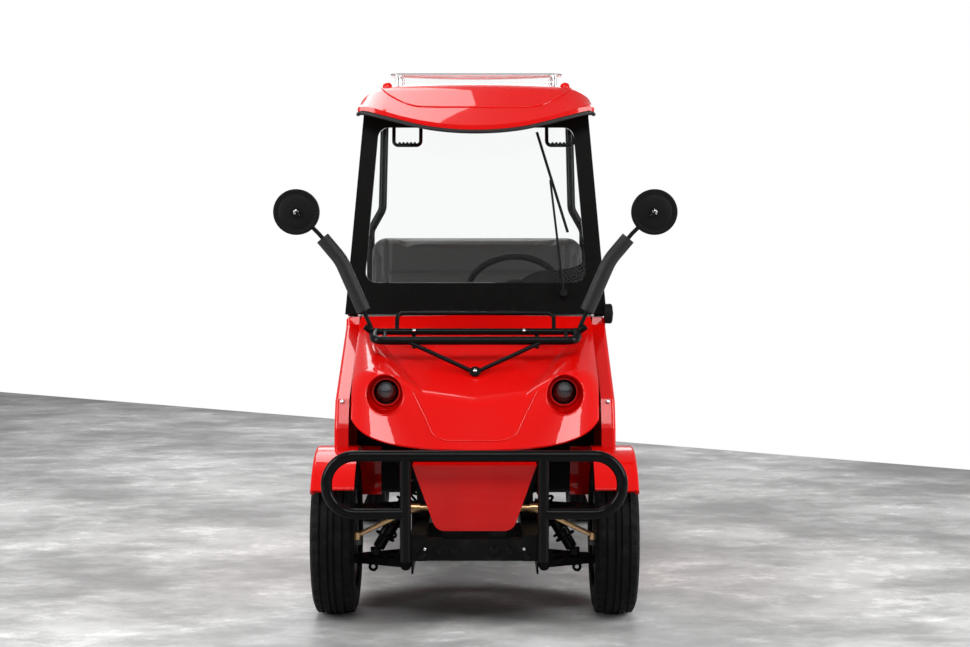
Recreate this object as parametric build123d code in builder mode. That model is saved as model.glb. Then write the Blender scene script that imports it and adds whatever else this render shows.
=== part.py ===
from build123d import *
import math
import os

# Golf cart for two people. Its nose points to -Y, its left side to +X, the ground is Z = 0
# and the origin lies under the middle of its box. All sizes are in millimetres.

# Main lengths along the cart
FRONT_OVERHANG = 380.0
WHEELBASE = 1650.0
REAR_OVERHANG = 370.0
LENGTH = FRONT_OVERHANG + WHEELBASE + REAR_OVERHANG
Y_FRONT = -LENGTH / 2
Y_REAR = LENGTH / 2
AXLE_F = Y_FRONT + FRONT_OVERHANG
AXLE_R = AXLE_F + WHEELBASE

# Fits between pieces
RUN_GAP = 0.3
SEAT_GAP = 0.3

# Wheels and tyres
TRACK = 890.0
TYRE_R = 254.0
TYRE_W = 138.0
RIM_R = 152.0
RIM_W = 110.0
RIM_WALL = 5.0
HUB_R = 34.0
SPINDLE_R = 15.0
SPINDLE_TIP = 36.0
VENT_COUNT = 8
VENT_R = 17.0
WHEEL_X = TRACK / 2
AXLE_Z = TYRE_R

# Ladder frame
RAIL_X = 170.0
RAIL_W = 50.0
RAIL_H = 80.0
RAIL_Z = 275.0
RAIL_TOP = RAIL_Z + RAIL_H / 2
RAIL_OUT = RAIL_X + RAIL_W / 2
KICK_Z = 420.0
KICK_LENGTH = 160.0
KICK_AHEAD = 290.0
RAIL_BEND = 90.0
CROSS_W = 50.0
TOWER_TOP = 520.0
TOWER_PLATE = 8.0
TOWER_GAP = 76.0
TOWER_H = 100.0
TOWER_TIE = 20.0
TOWER_W = 85.0
ARM_BRACKET = 6.0

# Bull bar tube and nose panel, whose lower edge stands on blocks of the frame
BAR_R = 17.0
NOSE_BOTTOM = 322.0
NOSE_BLOCK_X = 70.0
NOSE_BLOCK_W = 56.0
NOSE_BLOCK_D = 22.0

# Front suspension and steering
KINGPIN_IN = 45.0
KINGPIN_X = WHEEL_X - KINGPIN_IN
KINGPIN_R = 21.0
LOWER_ARM_Z = 175.0
UPPER_ARM_Z = 337.0
ARM_T = 22.0
ARM_SPREAD = 105.0
UPPER_SPREAD = 80.0
UPPER_BUSH = 44.0
LOWER_BUSH = 50.0
BUSH_INSET = 15.0
BUSH_R = 18.0
SHOCK_FOOT_X = 318.0
SHOCK_HEAD_X = 152.0
SHOCK_HEAD_Z = 482.0
SPRING_R = 32.0
SPRING_WIRE = 5.5
SPRING_TURNS = 9
STEER_ARM = 110.0
STEER_ARM_IN = 25.0
STEER_ARM_T = 17.0
RACK_Z = 356.0
RACK_R = 12.0
RACK_HOUSING_R = 24.0
RACK_HOUSING_HALF = 112.0
TIE_INNER_X = 192.0
TIE_ROD_R = 8.0
TIE_EYE_R = 15.0
TIE_EYE_T = 22.0
STEER_WHEEL_X = 140.0
PINION_X = 60.0


def aft(distance):
    """Place along the cart, measured back from the front of the bull bar."""
    return Y_FRONT + distance


def straight_bar(start, end, radius):
    """Round bar between two points."""
    with BuildPart() as bar:
        with BuildLine() as axis_line:
            Line(start, end)
        with BuildSketch(Plane(origin=start, z_dir=axis_line.line % 0)):
            Circle(radius)
        sweep()
    return bar.part


def bent_tube(points, bend, radius):
    """Round tube along straight runs joined by bends of one radius, or by a list of them."""
    with BuildPart() as tube:
        with BuildLine() as route:
            FilletPolyline(*points, radius=bend)
        with BuildSketch(Plane(origin=route.line @ 0, z_dir=route.line % 0)):
            Circle(radius)
        sweep()
    return tube.part


pieces = {}

# Rims: revolved barrel, dished disc with round vents, and a hub that runs on its spindle
DISC_X = 22.0
DISC_T = 7.0
HUB_BACK = -20.0
HUB_FRONT = 46.0
CAP_T = 6.0
BEAD_LIP = 14.0
LIP_T = 6.0
VENT_RING = (HUB_R + RIM_R - RIM_WALL) / 2
with BuildPart() as rim_form:
    with BuildSketch(Plane.XY):
        with BuildLine():
            Polyline(
                (HUB_BACK, SPINDLE_R + RUN_GAP),
                (HUB_FRONT - CAP_T, SPINDLE_R + RUN_GAP),
                (HUB_FRONT - CAP_T, 0),
                (HUB_FRONT, 0),
                (HUB_FRONT, HUB_R - 6),
                (HUB_FRONT - 10, HUB_R),
                (DISC_X + DISC_T, HUB_R),
                (DISC_X + DISC_T + 12, VENT_RING - VENT_R - 8),
                (DISC_X + DISC_T, RIM_R - RIM_WALL - 12),
                (RIM_W / 2 - LIP_T, RIM_R - RIM_WALL),
                (RIM_W / 2 - LIP_T, RIM_R + BEAD_LIP - RIM_WALL),
                (RIM_W / 2, RIM_R + BEAD_LIP - RIM_WALL),
                (RIM_W / 2, RIM_R + BEAD_LIP),
                (RIM_W / 2 - 2 * LIP_T, RIM_R + BEAD_LIP),
                (RIM_W / 2 - 2 * LIP_T, RIM_R),
                (2 * LIP_T - RIM_W / 2, RIM_R),
                (2 * LIP_T - RIM_W / 2, RIM_R + BEAD_LIP),
                (-RIM_W / 2, RIM_R + BEAD_LIP),
                (-RIM_W / 2, RIM_R + BEAD_LIP - RIM_WALL),
                (LIP_T - RIM_W / 2, RIM_R + BEAD_LIP - RIM_WALL),
                (LIP_T - RIM_W / 2, RIM_R - RIM_WALL),
                (DISC_X - 12, RIM_R - RIM_WALL),
                (DISC_X, RIM_R - RIM_WALL - 12),
                (DISC_X + 12, VENT_RING - VENT_R - 8),
                (DISC_X, HUB_R),
                (HUB_BACK, HUB_R),
                close=True,
            )
        make_face()
    revolve(axis=Axis.X)
    with BuildSketch(Plane.YZ.offset(DISC_X - 20)):
        with PolarLocations(VENT_RING + 8, VENT_COUNT):
            Circle(VENT_R)
    extrude(amount=60, mode=Mode.SUBTRACT)

# Tyres: one revolved section with sloped shoulders and bulged walls
TREAD_HALF = TYRE_W / 2 - 13
with BuildPart() as tyre_form:
    with BuildSketch(Plane.XY):
        with BuildLine() as half_section:
            Polyline(
                (0, RIM_R + SEAT_GAP),
                (RIM_W / 2 - 2 * LIP_T - SEAT_GAP, RIM_R + SEAT_GAP),
                (RIM_W / 2 - 2 * LIP_T - SEAT_GAP, RIM_R + BEAD_LIP + SEAT_GAP),
                (TYRE_W / 2 - 6, RIM_R + BEAD_LIP + 6),
                (TYRE_W / 2, (RIM_R + TYRE_R) / 2),
                (TYRE_W / 2 - 3, TYRE_R - 24),
                (TREAD_HALF, TYRE_R - 4),
                (TREAD_HALF / 2, TYRE_R),
                (0, TYRE_R),
            )
            mirror(about=Plane.YZ)
        make_face()
    revolve(axis=Axis.X)

# Wheel table: name, side, place along the cart
WHEELS = (
    ("front_left", 1, AXLE_F),
    ("front_right", -1, AXLE_F),
    ("rear_left", 1, AXLE_R),
    ("rear_right", -1, AXLE_R),
)
for corner, side, wheel_y in WHEELS:
    turn = 0 if side > 0 else 180
    for kind, form in (("rim", rim_form), ("tyre", tyre_form)):
        with BuildPart() as wheel_piece:
            add(Pos(side * WHEEL_X, wheel_y, AXLE_Z) * Rot(0, 0, turn) * form.part)
        pieces[f"{kind}_{corner}"] = wheel_piece

# Frame: two rails that kick up over the rear axle, cross members, shock towers, arm brackets
RAIL_START = 2 * BAR_R + 1.0
RAIL_END = LENGTH - 70.0
CHANNEL_BOTTOM = 236.0
CHANNEL_TOP = 300.0
FLOOR_FROM = 700.0
CROSS_MEMBERS = (FRONT_OVERHANG - STEER_ARM, 760.0, 1180.0, 1560.0)
SPRING_X = 300.0
SPRING_SPAN = 560.0
SPRING_W = 50.0
HANGER_T = 40.0
with BuildPart() as frame:
    for side in (-1, 1):
        with BuildLine() as rail_route:
            FilletPolyline(
                (side * RAIL_X, aft(RAIL_START), RAIL_Z),
                (side * RAIL_X, AXLE_R - KICK_AHEAD - KICK_LENGTH, RAIL_Z),
                (side * RAIL_X, AXLE_R - KICK_AHEAD, KICK_Z),
                (side * RAIL_X, aft(RAIL_END), KICK_Z),
                radius=RAIL_BEND,
            )
        with BuildSketch(Plane(origin=rail_route.line @ 0, x_dir=(1, 0, 0), z_dir=(0, 1, 0))):
            Rectangle(RAIL_W, RAIL_H)
        sweep()
    for distance in CROSS_MEMBERS:
        with Locations((0, aft(distance), RAIL_Z)):
            Box(2 * RAIL_X, CROSS_W, RAIL_H - 20)
    for spring_end in (-1, 1):
        with Locations((0, AXLE_R + spring_end * SPRING_SPAN / 2, KICK_Z)):
            Box(2 * SPRING_X + SPRING_W, HANGER_T, RAIL_H - 20)
    with Locations((0, aft(RAIL_START + CROSS_W / 2), (CHANNEL_BOTTOM + CHANNEL_TOP) / 2)):
        Box(2 * RAIL_X + RAIL_W, CROSS_W, CHANNEL_TOP - CHANNEL_BOTTOM)
    for side in (-1, 1):
        with Locations((side * NOSE_BLOCK_X, aft(RAIL_START + CROSS_W), CHANNEL_TOP)):
            Box(
                NOSE_BLOCK_W,
                NOSE_BLOCK_D,
                NOSE_BOTTOM - SEAT_GAP - CHANNEL_TOP,
                align=(Align.CENTER, Align.MAX, Align.MIN),
            )
        plate_y = AXLE_F + side * (TOWER_GAP + TOWER_PLATE) / 2
        if side < 0:
            with Locations((0, plate_y, TOWER_TOP - TOWER_TIE / 2)):
                Box(2 * RAIL_OUT, TOWER_PLATE, TOWER_TIE)
        for leg in (-1, 1):
            with Locations((leg * (RAIL_OUT - TOWER_W / 2), plate_y, TOWER_TOP - TOWER_H / 2)):
                Box(TOWER_W, TOWER_PLATE, TOWER_H)
            with Locations(
                (leg * RAIL_X, AXLE_F + side * (TOWER_GAP / 2 + TOWER_PLATE + 15), (RAIL_TOP + TOWER_TOP) / 2)
            ):
                Box(30, 30, TOWER_TOP - RAIL_TOP)
        with Locations((side * (RAIL_OUT + ARM_BRACKET / 2), AXLE_F, LOWER_ARM_Z - 25)):
            Box(
                ARM_BRACKET,
                2 * ARM_SPREAD + 60,
                RAIL_Z - LOWER_ARM_Z + 30,
                align=(Align.CENTER, Align.CENTER, Align.MIN),
            )
        for end in (-1, 1):
            bush_y = AXLE_F + end * (UPPER_SPREAD - BUSH_INSET)
            with Locations((side * (RAIL_OUT + ARM_BRACKET / 2), bush_y, RAIL_Z)):
                Box(
                    ARM_BRACKET,
                    UPPER_BUSH,
                    UPPER_ARM_Z + BUSH_R - RAIL_Z,
                    align=(Align.CENTER, Align.CENTER, Align.MIN),
                )
pieces["frame"] = frame

# Front arms: forked plates, bushed at the frame and ending round the kingpin
BUSH_X = RAIL_OUT + ARM_BRACKET + BUSH_R + SEAT_GAP
ARM_LIGHT_R = 17.0
# Arm table: height, half spread at the frame, bush length, window flag
ARMS = (
    (LOWER_ARM_Z, ARM_SPREAD, LOWER_BUSH, False),
    (UPPER_ARM_Z, UPPER_SPREAD, UPPER_BUSH, True),
)
with BuildPart() as front_arms:
    for arm_z, spread, bush, forked in ARMS:
        with BuildSketch(Plane.XY.offset(arm_z - ARM_T / 2)):
            with BuildLine():
                Polyline(
                    (BUSH_X, AXLE_F - spread),
                    (KINGPIN_X, AXLE_F - KINGPIN_R),
                    (KINGPIN_X, AXLE_F + KINGPIN_R),
                    (BUSH_X, AXLE_F + spread),
                    close=True,
                )
            make_face()
            with Locations((KINGPIN_X, AXLE_F)):
                Circle(KINGPIN_R)
            if forked:
                with BuildLine():
                    Polyline(
                        (BUSH_X, AXLE_F - spread + 30),
                        (KINGPIN_X - 75, AXLE_F - 12),
                        (KINGPIN_X - 75, AXLE_F + 12),
                        (BUSH_X, AXLE_F + spread - 30),
                        close=True,
                    )
                make_face(mode=Mode.SUBTRACT)
        extrude(amount=ARM_T)
        for end in (-1, 1):
            with BuildSketch(Plane.XZ.offset(-(AXLE_F + end * (spread - BUSH_INSET)))):
                with Locations((BUSH_X, arm_z)):
                    Circle(BUSH_R)
            extrude(amount=bush / 2, both=True)
    with BuildSketch(Plane.XY.offset(LOWER_ARM_Z - ARM_T / 2)):
        with Locations((KINGPIN_X - 62, AXLE_F - 18), (KINGPIN_X - 62, AXLE_F + 18)):
            Circle(ARM_LIGHT_R / 2)
        with Locations((BUSH_X + 45, AXLE_F - 45), (BUSH_X + 45, AXLE_F + 45)):
            Circle(ARM_LIGHT_R)
    extrude(amount=ARM_T, mode=Mode.SUBTRACT)
    mirror(about=Plane.YZ)
pieces["front_arms"] = front_arms

# Coil-over shocks: eyes, damper and coils, leaning in from the lower arm to the tower
SHOCK_EYE_R = 14.0
DAMPER_R = 22.0
ROD_R = 9.0
foot = Vector(SHOCK_FOOT_X, AXLE_F, LOWER_ARM_Z + ARM_T / 2 + SHOCK_EYE_R + SEAT_GAP)
head = Vector(SHOCK_HEAD_X, AXLE_F, SHOCK_HEAD_Z)
shock_line = head - foot
SHOCK_LENGTH = shock_line.length
COIL_FROM = 60.0
COIL_TO = SHOCK_LENGTH - 45.0
COIL_PITCH = (COIL_TO - COIL_FROM) / (SPRING_TURNS - 1)
with BuildPart() as front_shocks:
    with BuildSketch(Plane(origin=foot, x_dir=shock_line, z_dir=(0, 1, 0))):
        with Locations((SHOCK_LENGTH / 2, ROD_R / 2)):
            Rectangle(SHOCK_LENGTH, ROD_R)
        with Locations(((COIL_FROM + COIL_TO) / 2, DAMPER_R / 2)):
            Rectangle(COIL_TO - COIL_FROM, DAMPER_R)
        for seat_x in (COIL_FROM - 6, COIL_TO + 6):
            with Locations((seat_x, (SPRING_R + 3) / 2)):
                Rectangle(6, SPRING_R + 3)
        for turn in range(SPRING_TURNS):
            with Locations((COIL_FROM + turn * COIL_PITCH, SPRING_R - SPRING_WIRE - 4)):
                Circle(SPRING_WIRE + 1.5)
    revolve(axis=Axis(foot, shock_line))
    for eye in (foot, head):
        with BuildSketch(Plane.XZ.offset(-AXLE_F)):
            with Locations((eye.X, eye.Z)):
                Circle(SHOCK_EYE_R)
        extrude(amount=TOWER_GAP / 2 - SEAT_GAP, both=True)
    mirror(about=Plane.YZ)
pieces["front_shocks"] = front_shocks

# Steering knuckles: kingpin post, spindle with flange, and a steering arm that points forward
ARM_TOP = AXLE_Z + 3.5
POST_FROM = LOWER_ARM_Z + ARM_T / 2 + SEAT_GAP
POST_TO = UPPER_ARM_Z - ARM_T / 2 - SEAT_GAP
HUB_FACE_X = WHEEL_X + HUB_BACK - SEAT_GAP
SPINDLE_END = WHEEL_X + HUB_FRONT - CAP_T - SEAT_GAP
EYE_X = KINGPIN_X - STEER_ARM_IN
RACK_Y = AXLE_F - STEER_ARM
for hand, side in (("left", 1), ("right", -1)):
    with BuildPart() as knuckle:
        with BuildSketch(Plane.XY.offset(POST_FROM)):
            with Locations((side * KINGPIN_X, AXLE_F)):
                Circle(KINGPIN_R)
        extrude(amount=POST_TO - POST_FROM)
        for radius, reach in ((SPINDLE_R, SPINDLE_END), (HUB_R + 8, HUB_FACE_X)):
            with BuildSketch(Plane.YZ.offset(side * KINGPIN_X)):
                with Locations((AXLE_F, AXLE_Z)):
                    Circle(radius)
            extrude(amount=side * (reach - KINGPIN_X))
        with BuildSketch(Plane.XY.offset(ARM_TOP - STEER_ARM_T)):
            with Locations((side * EYE_X, RACK_Y)):
                Circle(TIE_EYE_R + 1)
            with Locations((side * KINGPIN_X, AXLE_F)):
                Circle(KINGPIN_R)
            make_hull()
        extrude(amount=STEER_ARM_T)
    pieces[f"knuckle_{hand}"] = knuckle

# Rack bar with its tie rods: ball ends at the bar, flat eyes over the steering arms
EYE_Z = ARM_TOP + SEAT_GAP + TIE_EYE_T / 2
BALL_R = 17.0
BALL_LENGTH = 36.0
rods = [straight_bar((-TIE_INNER_X, RACK_Y, RACK_Z), (TIE_INNER_X, RACK_Y, RACK_Z), RACK_R)]
for side in (-1, 1):
    rods.append(
        straight_bar((side * TIE_INNER_X, RACK_Y, RACK_Z), (side * EYE_X, RACK_Y, EYE_Z), TIE_ROD_R)
    )
with BuildPart() as tie_rods:
    for rod in rods:
        add(rod)
    for side in (-1, 1):
        with Locations(Location((side * TIE_INNER_X, RACK_Y, RACK_Z), (0, 90, 0))):
            Cylinder(BALL_R, BALL_LENGTH)
        with Locations((side * EYE_X, RACK_Y, EYE_Z)):
            Cylinder(TIE_EYE_R, TIE_EYE_T)
pieces["tie_rods"] = tie_rods

# Steering gear: bored housing on two saddles over the first cross member, with a pinion tower
SADDLE_X = 95.0
SADDLE_W = 34.0
SHAFT_R = 12.0
PINION_R = 26.0
PINION_H = 55.0
HUB_DEPTH = 46.0
COLUMN_R = 21.0
COLUMN_PITCH = 38.0
COLUMN_LENGTH = 520.0
STEER_WHEEL_AFT = 1120.0
STEER_WHEEL_Z = 998.0
WHEEL_CENTRE = Vector(STEER_WHEEL_X, aft(STEER_WHEEL_AFT), STEER_WHEEL_Z)
column_line = Vector(0, math.cos(math.radians(COLUMN_PITCH)), math.sin(math.radians(COLUMN_PITCH)))
column_end = WHEEL_CENTRE - column_line * (HUB_DEPTH / 2 + SEAT_GAP)
column_start = column_end - column_line * COLUMN_LENGTH
with BuildPart() as steering_gear:
    with BuildSketch(Plane.YZ):
        with Locations((RACK_Y, RACK_Z)):
            Circle(RACK_HOUSING_R)
    extrude(amount=RACK_HOUSING_HALF, both=True)
    with Locations((PINION_X, RACK_Y, RACK_Z)):
        Cylinder(PINION_R, PINION_H, align=(Align.CENTER, Align.CENTER, Align.MIN))
    for saddle_x in (-SADDLE_X, SADDLE_X):
        with Locations((saddle_x, RACK_Y, RAIL_TOP - 10)):
            Box(SADDLE_W, CROSS_W, RACK_Z - RAIL_TOP + 10, align=(Align.CENTER, Align.CENTER, Align.MIN))
    with BuildSketch(Plane.YZ):
        with Locations((RACK_Y, RACK_Z)):
            Circle(RACK_R + RUN_GAP)
    extrude(amount=2 * RACK_HOUSING_HALF, both=True, mode=Mode.SUBTRACT)
pieces["steering_gear"] = steering_gear

# Steering column: straight upper tube, and a jointed shaft down to the pinion
pinion_top = Vector(PINION_X, RACK_Y, RACK_Z + PINION_H + SHAFT_R + SEAT_GAP)
column_tube = straight_bar(column_start, column_end, COLUMN_R)
lower_shaft = straight_bar(pinion_top, column_start, SHAFT_R)
JOINT_R = 24.0
with BuildPart() as steering_column:
    add(column_tube)
    add(lower_shaft)
    with Locations(column_start):
        Sphere(JOINT_R)
    with Locations((PINION_X, RACK_Y, RACK_Z + PINION_H + SEAT_GAP)):
        Cylinder(SHAFT_R + 6, 2 * SHAFT_R, align=(Align.CENTER, Align.CENTER, Align.MIN))
    with BuildSketch(Plane(origin=column_end, x_dir=(1, 0, 0), z_dir=-column_line)):
        Circle(COLUMN_R + 14)
    extrude(amount=90, taper=4)
pieces["steering_column"] = steering_column

# Steering wheel: round rim, hub and spokes
STEER_RIM_R = 170.0
STEER_GRIP_R = 12.5
STEER_SPOKES = (0.0, 90.0, 180.0)
wheel_plane = Plane(origin=WHEEL_CENTRE, x_dir=(1, 0, 0), z_dir=column_line)
with BuildPart(wheel_plane) as steering_wheel:
    Torus(STEER_RIM_R, STEER_GRIP_R)
    Cylinder(44, HUB_DEPTH)
    for angle in STEER_SPOKES:
        with Locations(Location((0, 0, 0), (0, 0, angle))):
            Box(STEER_RIM_R, 34, 10, align=(Align.MIN, Align.CENTER, Align.CENTER))
pieces["steering_wheel"] = steering_wheel

# Rear axle: tube, gear case, brake drums, spindles and the motor ahead of it
AXLE_TUBE_R = 34.0
CASE_R = 105.0
CASE_X = 60.0
CASE_HALF = 62.0
MOTOR_R = 88.0
MOTOR_LENGTH = 260.0
MOTOR_AHEAD = 150.0
DRUM_R = 82.0
DRUM_X = 392.0
PAD_T = 10.0
with BuildPart() as rear_axle:
    # Turned steps along the axle: radius, from, to
    for radius, start, end in (
        (SPINDLE_R, -SPINDLE_END, SPINDLE_END),
        (AXLE_TUBE_R, -DRUM_X, DRUM_X),
        (DRUM_R, DRUM_X, HUB_FACE_X),
        (DRUM_R, -HUB_FACE_X, -DRUM_X),
        (CASE_R, CASE_X - CASE_HALF, CASE_X + CASE_HALF),
    ):
        with BuildSketch(Plane.YZ.offset(start)):
            with Locations((AXLE_R, AXLE_Z)):
                Circle(radius)
        extrude(amount=end - start)
    with BuildSketch(Plane.YZ.offset(CASE_X - CASE_HALF)):
        with Locations((AXLE_R, AXLE_Z)):
            Circle(CASE_R)
        with Locations((AXLE_R - MOTOR_AHEAD, AXLE_Z)):
            Circle(MOTOR_R - 20)
        make_hull()
    extrude(amount=CASE_HALF)
    with BuildSketch(Plane.YZ.offset(CASE_X - CASE_HALF)):
        with Locations((AXLE_R - MOTOR_AHEAD, AXLE_Z)):
            Circle(MOTOR_R)
    extrude(amount=-MOTOR_LENGTH)
    for side in (-1, 1):
        with Locations((side * SPRING_X, AXLE_R, AXLE_Z)):
            Box(
                SPRING_W + 10,
                80,
                AXLE_TUBE_R + PAD_T,
                align=(Align.CENTER, Align.CENTER, Align.MIN),
            )
pieces["rear_axle"] = rear_axle

# Rear leaf springs: a long and a short leaf over the axle pad, eyed under the hangers
LEAF_T = 9.0
LEAF_BASE = AXLE_Z + AXLE_TUBE_R + PAD_T
LEAF_EYE_R = 15.0
LEAF_EYE_Z = KICK_Z - (RAIL_H - 20) / 2 - LEAF_EYE_R - SEAT_GAP
LEAF_HALF = SPRING_SPAN / 2
# Leaf table: half length, lift above the pad
LEAVES = ((LEAF_HALF, LEAF_T), (LEAF_HALF * 0.6, 0.0))
with BuildPart() as rear_springs:
    for half, lift in LEAVES:
        rise = (LEAF_EYE_Z - LEAF_BASE - LEAF_T) * (half / LEAF_HALF) ** 2
        base = LEAF_BASE + lift + SEAT_GAP
        with BuildSketch(Plane.YZ.offset(SPRING_X - SPRING_W / 2)):
            with BuildLine():
                ThreePointArc((AXLE_R - half, base + rise), (AXLE_R, base), (AXLE_R + half, base + rise))
                offset(amount=LEAF_T, side=Side.LEFT)
            make_face()
        extrude(amount=SPRING_W)
    for end in (-1, 1):
        with BuildSketch(Plane.YZ.offset(SPRING_X - SPRING_W / 2)):
            with Locations((AXLE_R + end * LEAF_HALF, LEAF_EYE_Z)):
                Circle(LEAF_EYE_R)
        extrude(amount=SPRING_W)
    mirror(about=Plane.YZ)
pieces["rear_springs"] = rear_springs

# Battery pack between the rails and the seat
BATTERY_FROM = 1225.0
BATTERY_TO = 1500.0
BATTERY_HALF = 330.0
BATTERY_H = 230.0
with BuildPart() as battery_pack:
    with Locations((0, aft((BATTERY_FROM + BATTERY_TO) / 2), RAIL_TOP)):
        Box(
            2 * BATTERY_HALF,
            BATTERY_TO - BATTERY_FROM,
            BATTERY_H,
            align=(Align.CENTER, Align.CENTER, Align.MIN),
        )
    chamfer(battery_pack.edges().group_by(Axis.Z)[-1], 12)
pieces["battery_pack"] = battery_pack

# Bull bar: a loop of tube with half-round ends, two uprights and side plates on the rails
BAR_Y = aft(BAR_R)
BAR_TOP = 559.0
BAR_LOW = 383.0
BAR_FOOT = 238.0
BAR_HALF = 446.0
UPRIGHT_X = RAIL_OUT + ARM_BRACKET + 7.0
PLATE_BACK = 120.0
PLATE_H = 56.0
loop = bent_tube(
    (
        (UPRIGHT_X, BAR_Y, BAR_LOW),
        (BAR_HALF, BAR_Y, BAR_LOW),
        (BAR_HALF, BAR_Y, BAR_TOP),
        (-BAR_HALF, BAR_Y, BAR_TOP),
        (-BAR_HALF, BAR_Y, BAR_LOW),
        (-UPRIGHT_X, BAR_Y, BAR_LOW),
    ),
    0.49 * (BAR_TOP - BAR_LOW),
    BAR_R,
)
with BuildPart() as bull_bar:
    add(loop)
    for side in (-1, 1):
        with Locations((side * UPRIGHT_X, BAR_Y, BAR_FOOT)):
            Cylinder(BAR_R, BAR_TOP - BAR_FOOT, align=(Align.CENTER, Align.CENTER, Align.MIN))
        with Locations((side * (RAIL_OUT + SEAT_GAP), BAR_Y, RAIL_Z)):
            Box(
                ARM_BRACKET,
                PLATE_BACK - BAR_R,
                PLATE_H,
                align=(Align.MIN if side > 0 else Align.MAX, Align.MIN, Align.CENTER),
            )
pieces["bull_bar"] = bull_bar

# Floor pan: flat floor on the rails, toe board and fire wall in one folded sheet
SHEET_T = 6.0
SIDE_IN = 405.4
CABIN_HALF = SIDE_IN - SEAT_GAP
COWL_AFT = 850.0
COWL_Z = 930.0
SEAT_FROM = 1190.0
TOE_AFT = 705.0
TOE_Z = 480.0
FLOOR_FRONT = 805.0
with BuildPart() as floor_pan:
    with BuildSketch(Plane.YZ):
        with BuildLine():
            FilletPolyline(
                (aft(SEAT_FROM), RAIL_TOP),
                (aft(FLOOR_FRONT), RAIL_TOP),
                (aft(TOE_AFT), TOE_Z),
                (aft(COWL_AFT), COWL_Z - 38),
                radius=40,
            )
            offset(amount=SHEET_T, side=Side.RIGHT)
        make_face()
    extrude(amount=CABIN_HALF, both=True)
    with BuildSketch(Plane(origin=column_end, x_dir=(1, 0, 0), z_dir=-column_line)):
        Circle(COLUMN_R + SEAT_GAP)
    extrude(amount=COLUMN_LENGTH, mode=Mode.SUBTRACT)
pieces["floor_pan"] = floor_pan

# Dashboard: folded cover from the cowl over the instruments to the knee edge
DASH_AFT = 1000.0
DASH_Z = 938.0
DASH_T = 9.0
DASH_FACE = 1040.0
DASH_KNEE_AFT = 1000.0
DASH_KNEE_Z = 770.0
with BuildPart() as dashboard:
    with BuildSketch(Plane.YZ):
        with BuildLine():
            FilletPolyline(
                (aft(COWL_AFT + 12), COWL_Z - 4),
                (aft(DASH_AFT), DASH_Z),
                (aft(DASH_FACE), DASH_Z - 60),
                (aft(DASH_KNEE_AFT), DASH_KNEE_Z),
                radius=24,
            )
            offset(amount=DASH_T, side=Side.RIGHT)
        make_face()
    extrude(amount=CABIN_HALF, both=True)
    with BuildSketch(Plane(origin=column_end, x_dir=(1, 0, 0), z_dir=-column_line)):
        Circle(COLUMN_R + 14 + SEAT_GAP)
    extrude(amount=COLUMN_LENGTH, mode=Mode.SUBTRACT)
pieces["dashboard"] = dashboard

# Hood: lofted skin over sections of line, arc and line, creased where its centre panel ends
HOOD_SKIN = 5.0
HOOD_KNEE_R = 120.0
LAMP_X = 286.0
LAMP_Z = 714.0
LAMP_RECESS_R = 59.0
LAMP_WALL = 4.0
LAMP_FLOOR = 430.0
# Section columns: lower edge, knee, cowl edge, each as x, distance aft, height
HOOD_SECTIONS = (
    ((0, 130, 561), (0, 235, 700), (0, 846, 933)),
    ((105, 138, 563), (162, 280, 722), (398, 846, 928)),
    ((245, 195, 570), (268, 318, 768), (401, 846, 918)),
    ((345, 270, 594), (352, 358, 768), (403, 846, 910)),
    ((397, 350, 632), (399, 405, 738), (405, 846, 902)),
)


def hood_faces():
    """Closed hood sections from side to side, each spread back and down by the skin."""
    spread = Vector(0, HOOD_SKIN, -HOOD_SKIN)
    rows = [tuple((-x, y, z) for x, y, z in row) for row in reversed(HOOD_SECTIONS[1:])]
    rows.extend(HOOD_SECTIONS)
    faces = []
    for row in rows:
        lower, knee, cowl = (Vector(x, aft(y), z) for x, y, z in row)
        normal = (knee - lower).cross(cowl - lower).normalized()
        inward = spread - normal * spread.dot(normal)
        outer = FilletPolyline(lower, knee, cowl, radius=HOOD_KNEE_R)
        inner = outer.moved(Location(inward))
        ends = [Line(outer @ 0, inner @ 0), Line(outer @ 1, inner @ 1)]
        faces.append(make_face([*outer.edges(), *inner.edges(), *ends]).face())
    return faces


hood_skin_faces = hood_faces()
with BuildPart() as hood:
    loft(hood_skin_faces[3:6], ruled=True)
    loft(hood_skin_faces[:4])
    loft(hood_skin_faces[5:])
    with BuildSketch(Plane.XZ.offset(-aft(LAMP_FLOOR))):
        with Locations((-LAMP_X, LAMP_Z), (LAMP_X, LAMP_Z)):
            Circle(LAMP_RECESS_R + LAMP_WALL)
            Circle(LAMP_RECESS_R, mode=Mode.SUBTRACT)
    extrude(until=Until.NEXT)
    with BuildSketch(Plane.XZ.offset(-aft(LAMP_FLOOR))):
        with Locations((-LAMP_X, LAMP_Z), (LAMP_X, LAMP_Z)):
            Circle(LAMP_RECESS_R)
    extrude(amount=LAMP_FLOOR, mode=Mode.SUBTRACT)
pieces["hood"] = hood

# Headlamps: bucket in each recess, and a domed lens in front of it
LENS_R = 40.0
with BuildPart() as headlamps:
    for side in (-1, 1):
        with BuildSketch(Plane.XZ.offset(-aft(LAMP_FLOOR))):
            with Locations((side * LAMP_X, LAMP_Z)):
                Circle(LAMP_RECESS_R - SEAT_GAP)
        extrude(amount=26)
        with BuildSketch(Plane.XZ.offset(-aft(LAMP_FLOOR - 26))):
            with Locations((side * LAMP_X, LAMP_Z)):
                Circle(LENS_R + 6)
                Circle(LENS_R, mode=Mode.SUBTRACT)
        extrude(amount=22)
pieces["headlamps"] = headlamps
with BuildPart() as headlamp_lenses:
    for side in (-1, 1):
        with BuildSketch(Plane.XZ.offset(-aft(LAMP_FLOOR - 26 - SEAT_GAP))):
            with Locations((side * LAMP_X, LAMP_Z)):
                Circle(LENS_R - SEAT_GAP)
        extrude(amount=24)
    fillet(headlamp_lenses.edges().group_by(Axis.Y)[0], 10)
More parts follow.
